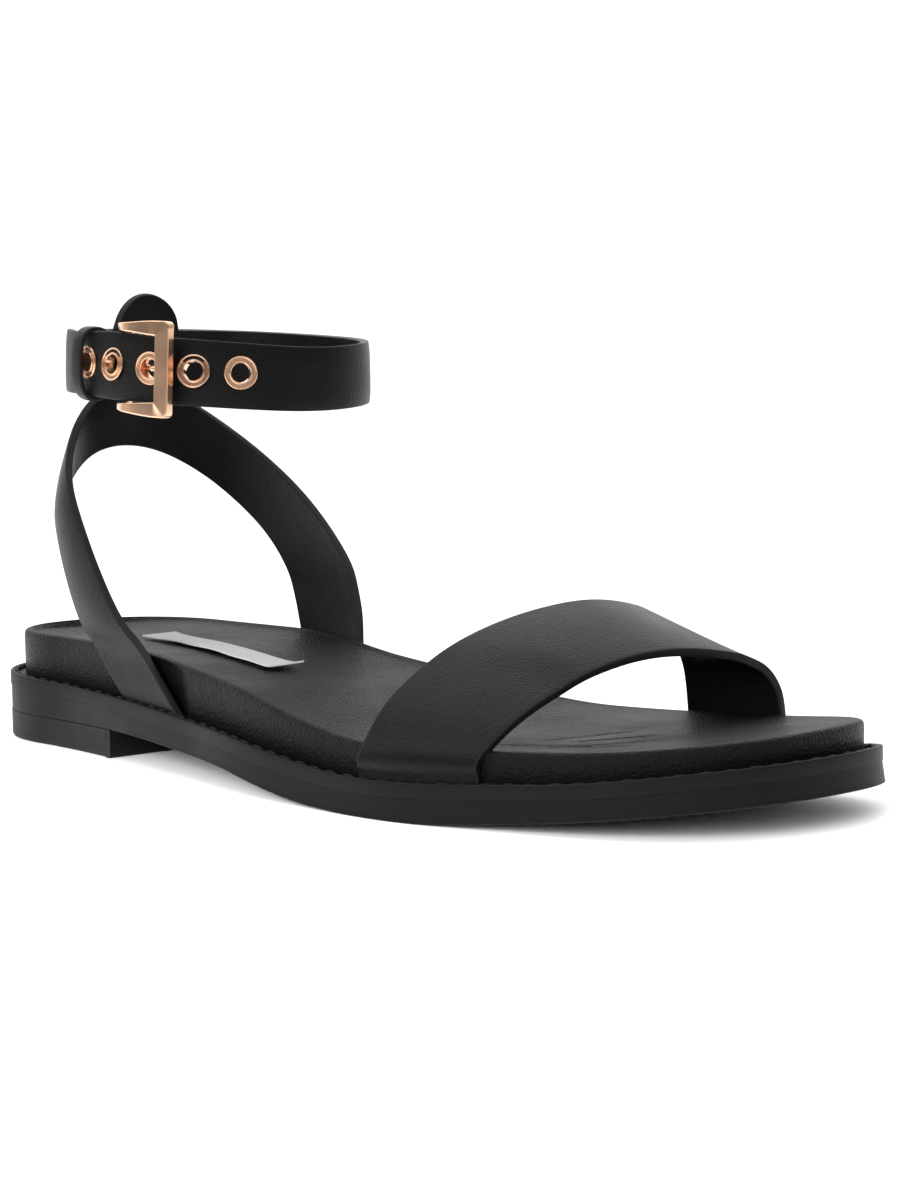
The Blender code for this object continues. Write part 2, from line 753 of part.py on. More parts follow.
def rounded_rectangle(half_width, half_height, radius, steps=3):
    """Corner points of a rounded rectangle, anticlockwise."""
    points = []
    for quarter in range(4):
        sx, sy = ((1, 1), (-1, 1), (-1, -1), (1, -1))[quarter]
        for k in range(steps + 1):
            turn_angle = math.pi / 2 * (quarter + k / steps)
            points.append((
                sx * (half_width - radius) + radius * math.cos(turn_angle),
                sy * (half_height - radius) + radius * math.sin(turn_angle)))
    return points


def make_keeper():
    """Leather loop round both layers of the strap: a wall between two rounded rectangles."""
    layers = STRAP * 2 + ANKLE_LAYER_GAP
    inner_half = (layers + KEEPER_OUTSIDE + KEEPER_INSIDE) / 2, ANKLE_WIDTH / 2 + KEEPER_EDGE
    outer_half = tuple(half + KEEPER_WALL for half in inner_half)
    inner = rounded_rectangle(*inner_half, KEEPER_ROUND)
    outer = rounded_rectangle(*outer_half, KEEPER_ROUND + KEEPER_WALL)
    middle = (KEEPER_OUTSIDE - KEEPER_INSIDE - layers) / 2
    shape = bmesh.new()
    rings = []
    for section, end in ((inner, -1), (outer, -1), (outer, 1), (inner, 1)):
        rings.append([shape.verts.new((end * KEEPER_LENGTH / 2, v, middle + n)) for n, v in section])
    for a, b in zip(rings, rings[1:] + rings[:1]):
        for k in range(len(a)):
            shape.faces.new((a[k - 1], a[k], b[k], b[k - 1]))
    bmesh.ops.recalc_face_normals(shape, faces=shape.faces)
    return to_mesh("keeper", shape)


def make_label():
    """Strip that lies on the footbed and follows its hollow."""
    length, width, thickness = LABEL_SIZE
    along = Vector((math.cos(LABEL_TURN), math.sin(LABEL_TURN)))
    across = Vector((-along.y, along.x))
    grid = []
    for i in range(LABEL_GRID[0] + 1):
        row = []
        for k in range(LABEL_GRID[1] + 1):
            place = Vector(LABEL_PLACE) + along * length * (i / LABEL_GRID[0] - 0.5)
            place -= across * width * (k / LABEL_GRID[1] - 0.5)
            row.append((place.x, place.y, footbed_top(place.x / LENGTH, place.y) + SEAM + thickness))
        grid.append(row)
    return grid_mesh("label", list(reversed(grid)))


def boolean(piece, other, operation):
    joint = piece.modifiers.new(operation.capitalize(), "BOOLEAN")
    joint.object = other
    joint.operation = operation


def hide(piece):
    piece.hide_render = True
    piece.display_type = "WIRE"


def build_sole(parts, root):
    add_object("outsole", make_outsole(), "rubber", parts, root)
    add_object("heel_block", make_heel_block(), "rubber", parts, root)
    add_object("welt", make_welt(), "rubber", parts, root)
    add_object("footbed", make_footbed(), "leather", parts, root)
    label = add_object("label", make_label(), "label weave", parts, root)
    thicken(label, LABEL_SIZE[2])


def build_straps(parts, cutters, root):
    toe_band = add_object("toe_band", make_toe_band(), "leather", parts, root)
    thicken(toe_band, STRAP)
    straps = add_object("heel_ankle_strap", make_heel_strap(), "leather", parts, root)
    thicken(straps, STRAP)
    for name, mesh in (("back_tab", make_back_tab()), ("ankle_strap", make_ankle_strap())):
        band = add_object(name, mesh, "leather", cutters, root)
        thicken(band, STRAP)
        hide(band)
        boolean(straps, band, "UNION")
    punch = add_object("punch", make_punch(), "leather", cutters, root)
    hide(punch)
    boolean(straps, punch, "DIFFERENCE")
    keeper = add_object("keeper", make_keeper(), "leather", parts, root)
    keeper.matrix_world = metric(loop_frame(KEEPER_PLACE))


def build_buckle(parts, root):
    frame = add_object("buckle_frame", make_buckle_frame(), "rose gold", parts, root)
    mirror_up(frame)
    prong = add_object("buckle_prong", make_prong(), "rose gold", parts, root)
    for piece in (frame, prong):
        piece.matrix_world = metric(metal_frame(0.0))
    for i, length in enumerate(eyelet_lengths()):
        name = f"eyelet_{i + 1}"
        eyelet = add_object(name, make_eyelet(name), "rose gold", parts, root)
        turn(eyelet, EYELET_STEPS)
        eyelet.matrix_world = metric(metal_frame(length))


def new_collection(name):
    collection = bpy.data.collections.new(name)
    bpy.context.scene.collection.children.link(collection)
    return collection


def centre_on_floor(parts, root):
    """Moves the root so that the object's box stands centred on the origin."""
    bpy.context.view_layer.update()
    graph = bpy.context.evaluated_depsgraph_get()
    points = []
    for piece in parts.objects:
        if piece.type != "EMPTY":
            solid = piece.evaluated_get(graph)
            points += [solid.matrix_world @ vertex.co for vertex in solid.to_mesh().vertices]
            solid.to_mesh_clear()
    low = Vector([min(point[k] for point in points) for k in range(3)])
    high = Vector([max(point[k] for point in points) for k in range(3)])
    root.location = (-(low.x + high.x) / 2, -(low.y + high.y) / 2, -low.z)


def main():
    for piece in list(bpy.data.objects):
        bpy.data.objects.remove(piece)
    parts = new_collection("flat sandal")
    cutters = new_collection("cutters")
    root = bpy.data.objects.new("sandal", None)
    parts.objects.link(root)
    build_sole(parts, root)
    build_straps(parts, cutters, root)
    build_buckle(parts, root)
    centre_on_floor(parts, root)


main()
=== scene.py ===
"""Looks of a right-foot flat sandal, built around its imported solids.

Shapes are worked out in the shoe's own millimetres: X from heel to toe, Y towards the inner (medial) side
and Z up from the floor. The file is laid out as an add-on and is run as a script.
"""

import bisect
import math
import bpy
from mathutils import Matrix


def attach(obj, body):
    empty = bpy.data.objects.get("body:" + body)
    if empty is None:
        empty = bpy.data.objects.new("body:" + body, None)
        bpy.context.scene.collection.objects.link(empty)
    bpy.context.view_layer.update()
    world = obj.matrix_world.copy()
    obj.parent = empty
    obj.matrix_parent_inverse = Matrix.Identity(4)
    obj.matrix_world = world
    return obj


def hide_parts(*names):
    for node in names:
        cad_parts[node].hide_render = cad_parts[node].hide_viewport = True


bl_info = {
    "name": "Flat sandal",
    "version": (1, 0, 0),
    "blender": (4, 5, 0),
    "location": "View3D > Sidebar > Sandal",
    "description": "Leather, rubber, metal and stitches of a flat sandal with a buckled ankle strap",
    "category": "Object",
}

import bmesh
import bpy
from bpy.props import FloatProperty, FloatVectorProperty, PointerProperty
from mathutils import Matrix, Vector

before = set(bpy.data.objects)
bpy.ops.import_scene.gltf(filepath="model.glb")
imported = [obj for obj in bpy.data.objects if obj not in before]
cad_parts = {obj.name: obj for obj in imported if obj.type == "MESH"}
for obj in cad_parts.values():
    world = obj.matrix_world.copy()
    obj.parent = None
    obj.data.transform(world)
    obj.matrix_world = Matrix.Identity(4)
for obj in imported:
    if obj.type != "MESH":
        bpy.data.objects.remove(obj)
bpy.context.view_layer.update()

MM = 0.001
HEEL_END = Vector((-125.25, -2.14, 0.0))  # the shoe's own zero, seen from the middle of the floor
SHARP = math.radians(40.0)
TURN_STEP = 0.02  # radians on both sides of a place on the ankle strap that give its direction
EDGE_STEP = 0.004  # share of the sole's length on both sides of a place on its edge, likewise

# Sole
LENGTH = 250.0
TOE_SWING = 10.8
HEEL_ROUND = (0.131, 2.2)
LATERAL_ROUND = (0.34, 2.4)
MEDIAL_ROUND = (0.11, 2.2)
STATIONS = 161
FOOTBED_STATIONS = 401
HEEL_STATIONS = 61
HEEL_BREAST = 66.0
WELT_HEIGHT = 3.2
WELT_CHANNEL = 0.9
OUTSOLE_INSET = 0.1
HEEL_RECESS = 0.2
RECESS_EASE = 0.7  # share of the lower edge's rounding that is lost over the heel block
HEEL_GAP = 0.02
EDGE_FLARE = 0.6
EDGE_BLEND = 20.0  # the lateral edge's height passes into the medial edge's over twice this width
FOOTBED_INSET = 3.75
FOOTBED_COLUMNS = 90
OUTLINE = (
    # share of length, lateral, medial
    (0.00, 30.5, 30.0),
    (0.14, 29.5, 30.5),
    (0.28, 32.5, 32.0),
    (0.42, 38.5, 28.0),
    (0.56, 45.0, 30.0),
    (0.70, 46.5, 34.5),
    (0.84, 43.5, 37.0),
    (1.00, 45.5, 38.0),
)
PROFILE = (
    # share of length, rim, lateral edge, medial edge, hollow
    (0.00, 16.6, 26.5, 26.4, 1.4),
    (0.25, 14.8, 26.2, 26.1, 1.8),
    (0.47, 12.3, 22.5, 21.3, 1.2),
    (0.68, 7.9, 14.7, 15.5, 0.4),
    (0.85, 9.9, 15.8, 16.7, 0.2),
    (1.00, 14.6, 19.0, 19.7, 0.0),
)
UNDERSIDE = (
    # share of length, height
    (0.00, 6.7),
    (0.27, 6.7),
    (0.47, 4.9),
    (0.62, 0.5),
    (0.68, 0.0),
    (0.73, 0.0),
    (0.85, 2.2),
    (1.00, 6.8),
)
RECESS = (
    # share of length, share of the recess over the heel block
    (0.00, 1.0),
    (0.26, 1.0),
    (0.32, 0.0),
    (1.00, 0.0),
)
OUTSOLE_FOOT = (
    # inset from the flared edge, height over the underside
    (2.5, 0.0),
    (0.35, 0.0),
    (0.1, 0.08),
    (0.0, 0.3),
)
OUTSOLE_SIDE = (
    # share of the flare, further inset, share of the height up to the welt
    (0.86, 0.0, 0.12),
    (0.72, 0.0, 0.25),
    (0.55, 0.0, 0.42),
    (0.36, 0.0, 0.60),
    (0.15, 0.0, 0.80),
    (0.0, 0.0, 0.95),
    (0.0, 0.02, 0.995),
    (0.0, 0.4, 1.0),
)
HEEL_SIDE = (
    # inset, share of the height
    (2.5, 0.0),
    (0.7, 0.0),
    (0.35, 0.02),
    (0.15, 0.08),
    (0.1, 0.2),
    (0.1, 0.99),
    (0.2, 1.0),
)
WELT_SIDE = (
    # inset, drop from the rim
    (0.6, WELT_HEIGHT + 0.05),
    (0.06, WELT_HEIGHT),
    (0.0, WELT_HEIGHT - 0.06),
    (0.0, 0.5),
    (0.05, 0.22),
    (0.18, 0.06),
    (0.38, 0.0),
    (1.0, 0.0),
    (1.12, 0.05),
    (1.2, 0.2),
    (1.25, WELT_CHANNEL),
    (FOOTBED_INSET + 1.0, WELT_CHANNEL),
)
FOOTBED_FOOT = (
    # inset, height over the welt
    (FOOTBED_INSET + 1.2, 0.05),
    (FOOTBED_INSET + 0.35, 0.1),
    (FOOTBED_INSET + 0.08, 0.5),
)
FOOTBED_SHOULDER = (
    # inset, drop from the top edge
    (FOOTBED_INSET, 1.7),
    (FOOTBED_INSET + 0.04, 1.05),
    (FOOTBED_INSET + 0.2, 0.55),
    (FOOTBED_INSET + 0.5, 0.22),
    (FOOTBED_INSET + 0.95, 0.05),
    (FOOTBED_INSET + 1.6, 0.0),
)
FOOTBED_RIM = FOOTBED_INSET + 2.6
# The footbed's outer wall is drawn in behind the heel strap, from the lowest ring to the highest
PINCH_REACH = (72.0, 80.0, 88.0, 101.0)  # x where it starts, is full, starts to end and ends
PINCH_DEPTHS = (2.2, 2.6, 2.8, 1.9, 0.9, 0.3, 0.0, 0.0, 0.0)
# Shallow creases pressed into the footbed by its wrapping
CREASE_FADES = ((-0.1, 0.3), (0.7, 1.1))  # shares of its length where a crease fades in and out
FOOTBED_CREASES = (
    # start x, y, end x, y, half width, depth
    (190.0, -22.5, 213.0, -13.0, 0.7, 0.34),
    (194.5, -15.0, 203.0, 8.0, 0.8, 0.30),
    (202.5, -12.0, 213.0, 6.0, 0.7, 0.34),
    (199.0, -24.0, 222.0, -9.0, 0.6, 0.22),
    (207.0, -18.0, 219.0, -1.0, 0.6, 0.22),
    (150.0, -20.0, 166.0, -13.0, 0.9, 0.16),
)

# Welt stitches
STITCH_INSET = 1.6
STITCH_DROP = 0.3  # the thread's line lies this far below the rim
STITCH_STATIONS = 721
STITCH_POINTS = 9
STITCH_SIDES = 8
STITCH_SPAN = (0.06, 0.88)  # start and reach of the thread in shares of the pitch
STITCH_RISE = 0.55
STITCH_SINK = 0.42
STITCH_BOW = 0.7
STITCH_THIN = 0.75  # thickness of the thread where it enters the welt
STITCH_DRIFTS = (
    # share of the pitch, turn from one stitch to the next
    (0.05, 2.4),
    (0.03, 5.1),
)

# Straps
STRAP_SEAT = 1.9
STRAP_CLEARANCE = 0.1
TOE_BAND = (
    # rear x, y, z, front x, y, z, crown
    (170.5, -33.5, 22.6, 200.7, -27.2, 19.6, 0.8),
    (173.0, -22.5, 31.3, 202.4, -18.0, 25.0, 0.8),
    (175.6, -11.3, 36.6, 204.4, -7.0, 29.6, 0.8),
    (178.6, 2.0, 40.1, 206.6, 4.5, 32.2, 0.8),
    (181.6, 14.8, 41.3, 208.6, 15.8, 32.5, 0.6),
    (184.0, 26.0, 39.2, 210.2, 27.8, 30.8, 0.0),
    (185.6, 34.4, 33.6, 211.1, 36.6, 27.9, -0.3),
    (186.6, 38.6, 26.4, 211.6, 41.6, 22.2, 0.0),
)
TOE_BAND_FOLDS = (
    # share along the band, half length, share across it, half width, height
    (0.095, 0.028, 0.5, 2.0, 0.35),
    (0.040, 0.024, 0.5, 2.0, -0.45),
    (0.30, 0.030, 0.75, 0.35, -0.22),
    (0.36, 0.025, 0.60, 0.30, 0.15),
    (0.655, 0.030, 0.3, 0.80, 0.30),
    (0.70, 0.030, 0.3, 0.80, -0.25),
)
TOE_BAND_LATERAL = (169.0, 199.5)
TOE_BAND_MEDIAL = (187.0, 211.7)
TOE_BAND_RISES = (0.0, 5.0)
HEEL_STRAP_CROWN = 0.8
HEEL_STRAP_LATERAL = (
    # lower x, y, z, upper x, y, z
    (52.2, 29.8, 30.9, 72.2, 32.3, 32.2),
    (48.8, 31.0, 40.7, 63.8, 33.0, 44.3),
    (45.9, 31.3, 50.1, 57.6, 33.5, 56.0),
    (40.0, 28.3, 58.9, 49.4, 31.0, 66.0),
    (33.8, 19.0, 66.6, 40.4, 23.2, 76.4),
    (30.6, 10.5, 70.8, 35.0, 13.0, 84.6),
)
HEEL_STRAP_MEDIAL = (
    # lower x, y, z, upper x, y, z
    (60.0, 31.4, 27.5, 82.4, 32.9, 29.0),
    (56.0, 33.1, 33.2, 77.6, 35.1, 37.0),
    (51.4, 34.5, 40.0, 73.4, 36.0, 43.7),
    (43.0, 33.5, 50.0, 60.4, 35.0, 57.1),
    (36.0, 27.3, 59.0, 48.4, 30.3, 68.3),
    (32.4, 19.5, 65.2, 40.6, 22.6, 77.0),
    (29.9, 9.5, 70.2, 34.8, 12.0, 85.0),
)
HEEL_STRAP_BACK = (28.5, 0.0, 72.0, 32.5, 0.0, 89.0)
LATERAL_FOOT = (
    # lower x, rise, upper x, rise
    (70.5, 0.0, 96.4, 0.0),
    (61.0, 7.0, 86.8, 6.6),
    (55.4, 12.2, 77.8, 13.2),
)
MEDIAL_FOOT = (
    # lower x, rise, upper x, rise
    (68.5, 0.0, 91.0, 0.0),
    (63.5, 6.5, 86.5, 7.0),
)
BACK_LEAN = 0.235
TAB_MIDDLE = 1.3
TAB_HALF_WIDTH = 9.3
TAB_SHOULDER = 99.6  # the tab's rounded end starts at this height
TAB_TOP = 109.4
TAB_FILLET = 1.2
TAB_FOOT = 80.0  # the tab grows only from sections whose upper edge is above this height
TAB_COLUMNS = 0.7  # columns past this share of a section are drawn up into the tab

# Ankle strap
ANKLE_MIDDLE = (66.6, 2.0, 91.2)
ANKLE_RADII = (36.6, 33.7)
ANKLE_SQUARE = 2.3
LOOP_SAMPLES = 1440
ANKLE_SLOPE = (-0.058, -0.004)
ANKLE_WIDTH = 14.8
ANKLE_LAYER = 2.5  # distance between the outer faces of its two layers
BUCKLE_ANGLE = math.radians(292.5)
BUCKLE_END = -12.3
TAIL_END = -47.0
LAYER_RAMP = (-150.0, -85.0)
BACK_TUCK = 2.2  # the ankle strap runs this far inside the heel strap at the back
BACK_TUCK_RANGE = (0.6, 0.97)  # how far backwards the strap faces where the tuck starts and is full
TIP_WIDTH = 0.62  # width of the strap's two tips, in shares of its width
TAIL_TIP = 0.3  # length of the tail's rounded tip, in shares of the strap's width
START_TIP = 1.5
ANKLE_SAG = (41.0, 20.0, 0.9)  # place along the strap, half length and depth of its slack
ANKLE_CROWN = 0.35
TAIL_TAPER = (
    # place along the tail, lift, change of half its width
    (-60.0, 0.3, 0.3),
    (-42.0, 0.6, 0.15),
    (-24.0, 0.8, 0.0),
    (-16.0, 0.95, 0.4),
    (-8.0, 0.9, 0.5),
    (3.0, 0.6, 0.3),
    (25.0, 0.25, 0.15),
    (45.0, 0.0, 0.0),
)
START_LIFT = (-80.0, -25.0, 0.6)  # the strap's start rises by this much towards the buckle
EYELETS = (
    # place along the strap, lift, lean in degrees
    (-21.2, 1.25, 0.0),
    (-11.0, 1.3, -7.0),
    (0.8, 0.95, 2.0),
    (11.7, 0.75, -7.0),
    (22.4, 0.6, 2.0),
)
PRONG_LIFT = 0.95
EYELET_HOLE = 2.8
EYELET_STEPS = 72
EYELET_BEADS = (
    # radius of the bead's middle, its height, bead radius
    (2.46, 0.40, 0.21),
    (3.62, 0.30, 0.21),
)
EYELET_BEAD_STEPS = 12
EYELET_CHANNEL = 0.16
EYELET_GAP = 0.04
EYELET_SEAT = 0.05
EYELET_PLAY = 0.1
EYELET_DEPTH = -2.1
PUNCH_SIDES = 48
PUNCH_MARGINS = (1.0, 0.3)  # reach of the punch outside and inside the leather
BUCKLE_FRAME = (
    # run, inner edge along the strap, up, outer edge along the strap, up, out, depth
    (0.0, 5.35, 0.0, 9.05, 0.0, 3.6, 2.5),
    (7.2, 5.35, 7.2, 9.05, 8.0, 3.6, 2.5),
    (7.8, 5.35, 7.5, 9.05, 9.7, 3.6, 2.5),
    (8.3, 5.35, 7.5, 8.75, 10.55, 3.6, 2.5),
    (8.8, 5.35, 7.5, 8.0, 10.9, 3.58, 2.5),
    (11.3, 5.1, 7.5, 5.1, 10.9, 3.5, 2.4),
    (13.8, 2.8, 7.65, 2.8, 10.8, 3.4, 2.3),
    (19.8, -3.0, 8.1, -3.0, 10.3, 2.7, 2.0),
    (24.8, -7.2, 8.25, -7.4, 10.0, 0.0, 1.8),
    (28.8, -8.9, 8.2, -9.4, 9.9, -4.0, 1.8),
    (31.3, -8.9, 7.4, -10.4, 8.4, -6.0, 1.8),
    (32.8, -8.8, 6.4, -10.6, 6.4, -6.0, 1.8),
    (39.2, -8.8, 0.0, -10.6, 0.0, -6.0, 1.8),
)
BUCKLE_LIFT = 1.0
BUCKLE_EDGE = 0.28
BUCKLE_GUARD = 0.3  # flat faces get an extra point this share of the edge radius beside each corner
PRONG = (
    # along the strap, out, radius
    (-11.1, -5.5, 0.55),
    (-10.6, -4.4, 0.6),
    (-9.3, -4.2, 0.65),
    (-8.0, -4.6, 0.65),
    (-4.4, -4.2, 0.65),
    (-1.4, -3.0, 0.65),
    (-0.2, -1.9, 0.65),
    (0.9, -0.4, 0.65),
    (2.0, 1.0, 0.65),
    (3.4, 1.7, 0.65),
    (6.0, 1.7, 0.6),
    (7.6, 1.6, 0.5),
)
PRONG_TIP = (3, 0.2)  # steps over which the tip narrows, and its narrowest share
KEEPER_PLACE = -22.7
KEEPER_LENGTH = 4.2
KEEPER_HALF = (3.5, 7.5)  # half of the room inside, out and up
KEEPER_MIDDLE = (0.75, -2.0)  # up and out from the strap's outer face
KEEPER_SQUARE = 2.8
KEEPER_BULGE = 0.12
KEEPER_EDGE = 0.8  # radius of its cut edges, in shares of the straps'

# Label
LABEL_LENGTH = 62.0
LABEL_WIDTH = 9.4
LABEL_PLACE = (75.2, -5.4)
LABEL_TURN = math.radians(-7.2)
LABEL_CLEARANCE = 0.1
LABEL_CURL = 9  # power of the curve by which the two ends rise
LABEL_EDGE = 0.3  # radius of its edges, in shares of its thickness
LABEL_LIFTS = (
    # lift of the near corner, the far corner: heel end, then toe end
    (0.1, 0.5),
    (0.4, 1.4),
)
LABEL_WAVES = (
    # share along the label, half length, lift of the near edge
    (-0.45, 0.22, 0.3),
    (0.15, 0.25, 0.35),
    (0.7, 0.2, 0.3),
)

# Finishes
LEATHER_IOR = 1.23
RUBBED_IOR = 1.26
SHEEN_PATCHES = 70.0
LEATHER_SHADES = (0.75, 1.35)  # darkest and lightest share of the colour
RUBBED_SHADES = (0.85, 1.15)
LABEL_SHADES = (0.86, 1.05)
LABEL_ROUGHNESS = 0.62
FLOOR_ROUGHNESS = 0.4
PEBBLE_SMOOTHNESS = 0.6
FOLD_SCALE = 0.17  # scales of the grain's folds and pores, in shares of the pebbles'
PORE_SCALE = 2.3
FOLD_SHARE = 0.5
CLOUDS_PER_METRE = 34.0
SPECK_SCALE = 30.0  # in shares of the patches'
PATTERN_RANGE = (0.3, 0.7)  # part of a noise pattern that is stretched over the whole range
UPRIGHT_RANGE = (0.1, 0.8)  # how far upwards a face looks where the grain starts to grow and is full
LEATHERS = {
    # pebbles per metre, share of pores, relief in metres, roughness, share of grain on upright faces
    "strap leather": (2200.0, 0.5, 0.00008, (0.30, 0.40), 1.0),
    "footbed leather": (1600.0, 0.7, 0.00055, (0.38, 0.48), 0.45),
}
RUBBED_FINISHES = {
    # patches per metre, relief in metres, roughness, metallic
    "edge paint": (160.0, 0.00004, (0.42, 0.55), 0.0),
    "sole rubber": (45.0, 0.00005, (0.44, 0.56), 0.0),
    "waxed thread": (300.0, 0.00006, (0.45, 0.6), 0.0),
    "rose gold": (120.0, 0.000004, (0.11, 0.2), 0.95),
}
LABEL_THREADS = (("X", 330.0), ("Y", 620.0))  # direction of the waves, their scale
LABEL_RELIEF = 0.00012

# Camera and stage
CAMERA_PLACE = (608.2, -393.2, 96.2)
CAMERA_AZIMUTH = math.radians(49.2)
CAMERA_ELEVATION = math.radians(5.3)
CAMERA_ROLL = math.radians(-0.88)
FLOOR_HALF = 6.0
FLOOR_PAINTED_SHADE = (0.05, 0.45)  # metres towards the camera where the painted shade on the floor, seen only in reflections, starts and is darkest
BACKDROP_RISE = 0.1
BACKDROP_RANGE = (0.28, 0.72)  # how far away from the camera the surround starts to shine and is brightest
CEILING_RANGE = (0.3, 1.0)
SOFTBOXES = (
    # name, place, aim, size, setting of its power, whether it shows in what shines
    ("overhead softbox", (-0.45, -0.35, 1.1), (0.0, 0.0, 0.03), (1.2, 1.2), "key", True),
    ("left strip light", (-0.75, -0.55, 0.35), (0.0, 0.0, 0.06), (0.35, 0.9), "side", True),
    ("front fill", (0.25, -0.85, 0.34), (0.0, 0.0, 0.0), (0.9, 0.4), "fill", False),
)


class SandalSizes(bpy.types.PropertyGroup):
    """Sizes of the sandal's materials."""

    strap: FloatProperty(
        name="Strap", description="Thickness of the strap leather", default=0.0019, unit="LENGTH")
    edge: FloatProperty(
        name="Cut edge", description="Radius of the cut edges", default=0.00035, unit="LENGTH")
    keeper: FloatProperty(
        name="Keeper", description="Thickness of the keeper", default=0.0011, unit="LENGTH")
    label: FloatProperty(
        name="Label", description="Thickness of the label", default=0.0004, unit="LENGTH")
    stitch: FloatProperty(
        name="Stitch pitch", description="Length of one welt stitch", default=0.0052, unit="LENGTH")
    thread: FloatProperty(
        name="Thread", description="Thickness of the welt thread", default=0.0007, unit="LENGTH")


class SandalColours(bpy.types.PropertyGroup):
    """Colours of the sandal's materials."""

    leather: FloatVectorProperty(
        name="Leather", description="Straps and footbed", default=(0.0028, 0.0028, 0.0028), subtype="COLOR")
    edge: FloatVectorProperty(
        name="Edge paint", description="Painted cut edges", default=(0.007, 0.007, 0.0067), subtype="COLOR")
    rubber: FloatVectorProperty(
        name="Rubber", description="Sole, heel and welt", default=(0.0035, 0.0035, 0.0034), subtype="COLOR")
    metal: FloatVectorProperty(
        name="Metal", description="Buckle and eyelets", default=(0.86, 0.545, 0.36), subtype="COLOR")
    label: FloatVectorProperty(
        name="Label", description="Woven label", default=(0.33, 0.33, 0.325), subtype="COLOR")
    thread: FloatVectorProperty(
        name="Thread", description="Welt thread", default=(0.006, 0.006, 0.006), subtype="COLOR")


class SandalStage(bpy.types.PropertyGroup):
    """Floor, light and lens."""

    floor: FloatVectorProperty(
        name="Floor", description="Colour of the floor", default=(0.93, 0.93, 0.93), subtype="COLOR")
    key: FloatProperty(
        name="Key light", description="Power of the soft light overhead", default=2.2, unit="POWER")
    side: FloatProperty(
        name="Side light", description="Power of the strip light on the left", default=0.2, unit="POWER")
    fill: FloatProperty(
        name="Front fill", description="Power of the matt light in front", default=18.0, unit="POWER")
    backdrop: FloatProperty(
        name="Backdrop", description="Brightness of the surround behind the shoe", default=1.25)
    zenith: FloatProperty(
        name="Ceiling", description="Brightness added straight overhead", default=1.25)
    # painted shade: share of the floor's colour taken away near the camera, in reflections only
    dim: FloatProperty(
        name="Dim floor", description="Share that the near floor loses in what shines", default=0.8)
    shade: FloatProperty(
        name="Dark side", description="Brightness of the surround near the camera", default=0.10)
    lens: FloatProperty(
        name="Lens", description="Focal length in millimetres", default=83.4)


def smooth(rows, column):
    """Returns a cubic through one column of a table that never overshoots its rows."""
    keys = [row[0] for row in rows]
    values = [row[column] for row in rows]
    steps = [b - a for a, b in zip(keys, keys[1:])]
    slopes = [(b - a) / h for a, b, h in zip(values, values[1:], steps)]
    tangents = [slopes[0]]
    for left, right in zip(slopes, slopes[1:]):
        tangents.append(2 * left * right / (left + right) if left * right > 0 else 0.0)
    tangents.append(slopes[-1])

    def at(key):
        key = clamped(key, keys[0], keys[-1])
        i = min(bisect.bisect_right(keys, key), len(steps)) - 1
        s = (key - keys[i]) / steps[i]
        start = values[i] * (1 + 2 * s) * (1 - s) ** 2 + tangents[i] * steps[i] * s * (1 - s) ** 2
        end = values[i + 1] * (3 - 2 * s) * s ** 2 + tangents[i + 1] * steps[i] * (s - 1) * s ** 2
        return start + end

    return at


def spline(rows, share):
    """Reads all columns of a table at a share of its length, on a Catmull-Rom curve through the rows."""
    last = len(rows) - 1
    place = clamped(share) * last
    i = min(int(place), last - 1)
    s = place - i
    before, a, b, after = (rows[clamped(k, 0, last)] for k in (i - 1, i, i + 1, i + 2))
    return [
        0.5 * (2 * q + (r - p) * s + (2 * p - 5 * q + 4 * r - t) * s ** 2 + (3 * q - p - 3 * r + t) * s ** 3)
        for p, q, r, t in zip(before, a, b, after)
    ]


def clamped(value, low=0.0, high=1.0):
    """Keeps a value inside a range."""
    return min(max(value, low), high)


def ease(value, low, high):
    """Smooth step from 0 at low to 1 at high."""
    s = clamped((value - low) / (high - low))
    return s * s * (3 - 2 * s)


def swell(value, middle, half):
    """Soft bump of height 1 about a middle."""
    return math.exp(-((value - middle) / half) ** 2)


def rounded_turn(angle, halves, power):
    """Point at an angle on a rounded rectangle with these half sides."""
    turns = (math.cos(angle), math.sin(angle))
    return [half * math.copysign(abs(turn) ** (2 / power), turn) for half, turn in zip(halves, turns)]


def run_lengths(points):
    """Length run along a line at each of its points."""
    lengths = [0.0]
    for a, b in zip(points, points[1:]):
        lengths.append(lengths[-1] + (b - a).length)
    return lengths


def stretch_at(lengths, length):
    """Number of the stretch of a closed line that holds a length, and the share run in it."""
    rest = length % lengths[-1]
    i = min(bisect.bisect_right(lengths, rest), len(lengths) - 1) - 1
    return i, (rest - lengths[i]) / (lengths[i + 1] - lengths[i])


lateral_width = smooth(OUTLINE, 1)
medial_width = smooth(OUTLINE, 2)
rim_height = smooth(PROFILE, 1)
lateral_edge = smooth(PROFILE, 2)
medial_edge = smooth(PROFILE, 3)
hollow = smooth(PROFILE, 4)
underside = smooth(UNDERSIDE, 1)
recess = smooth(RECESS, 1)


def end_round(share, heel, toe):
    """Narrows the outline to nothing over its heel end and its toe end."""
    rounding = 1.0
    for reach, power, depth in ((*heel, heel[0] - share), (*toe, share - 1.0 + toe[0])):
        if depth > 0:
            rounding *= max(1.0 - (depth / reach) ** power, 0.0) ** (1.0 / power)
    return rounding


def outline(share, side):
    """Point on the sole's edge; side is -1 on the lateral and 1 on the medial side."""
    width, toe = (lateral_width, LATERAL_ROUND) if side < 0 else (medial_width, MEDIAL_ROUND)
    half = width(share) * end_round(share, HEEL_ROUND, toe)
    return Vector((LENGTH * share, TOE_SWING * share ** 2 + side * half))


def outline_ring(stations):
    """Plan points round the sole: heel end, lateral side forwards, toe end, medial side back."""
    shares = [(1 - math.cos(math.pi * i / (stations - 1))) / 2 for i in range(stations)]
    return [outline(s, -1) for s in shares] + [outline(s, 1) for s in reversed(shares[1:-1])]


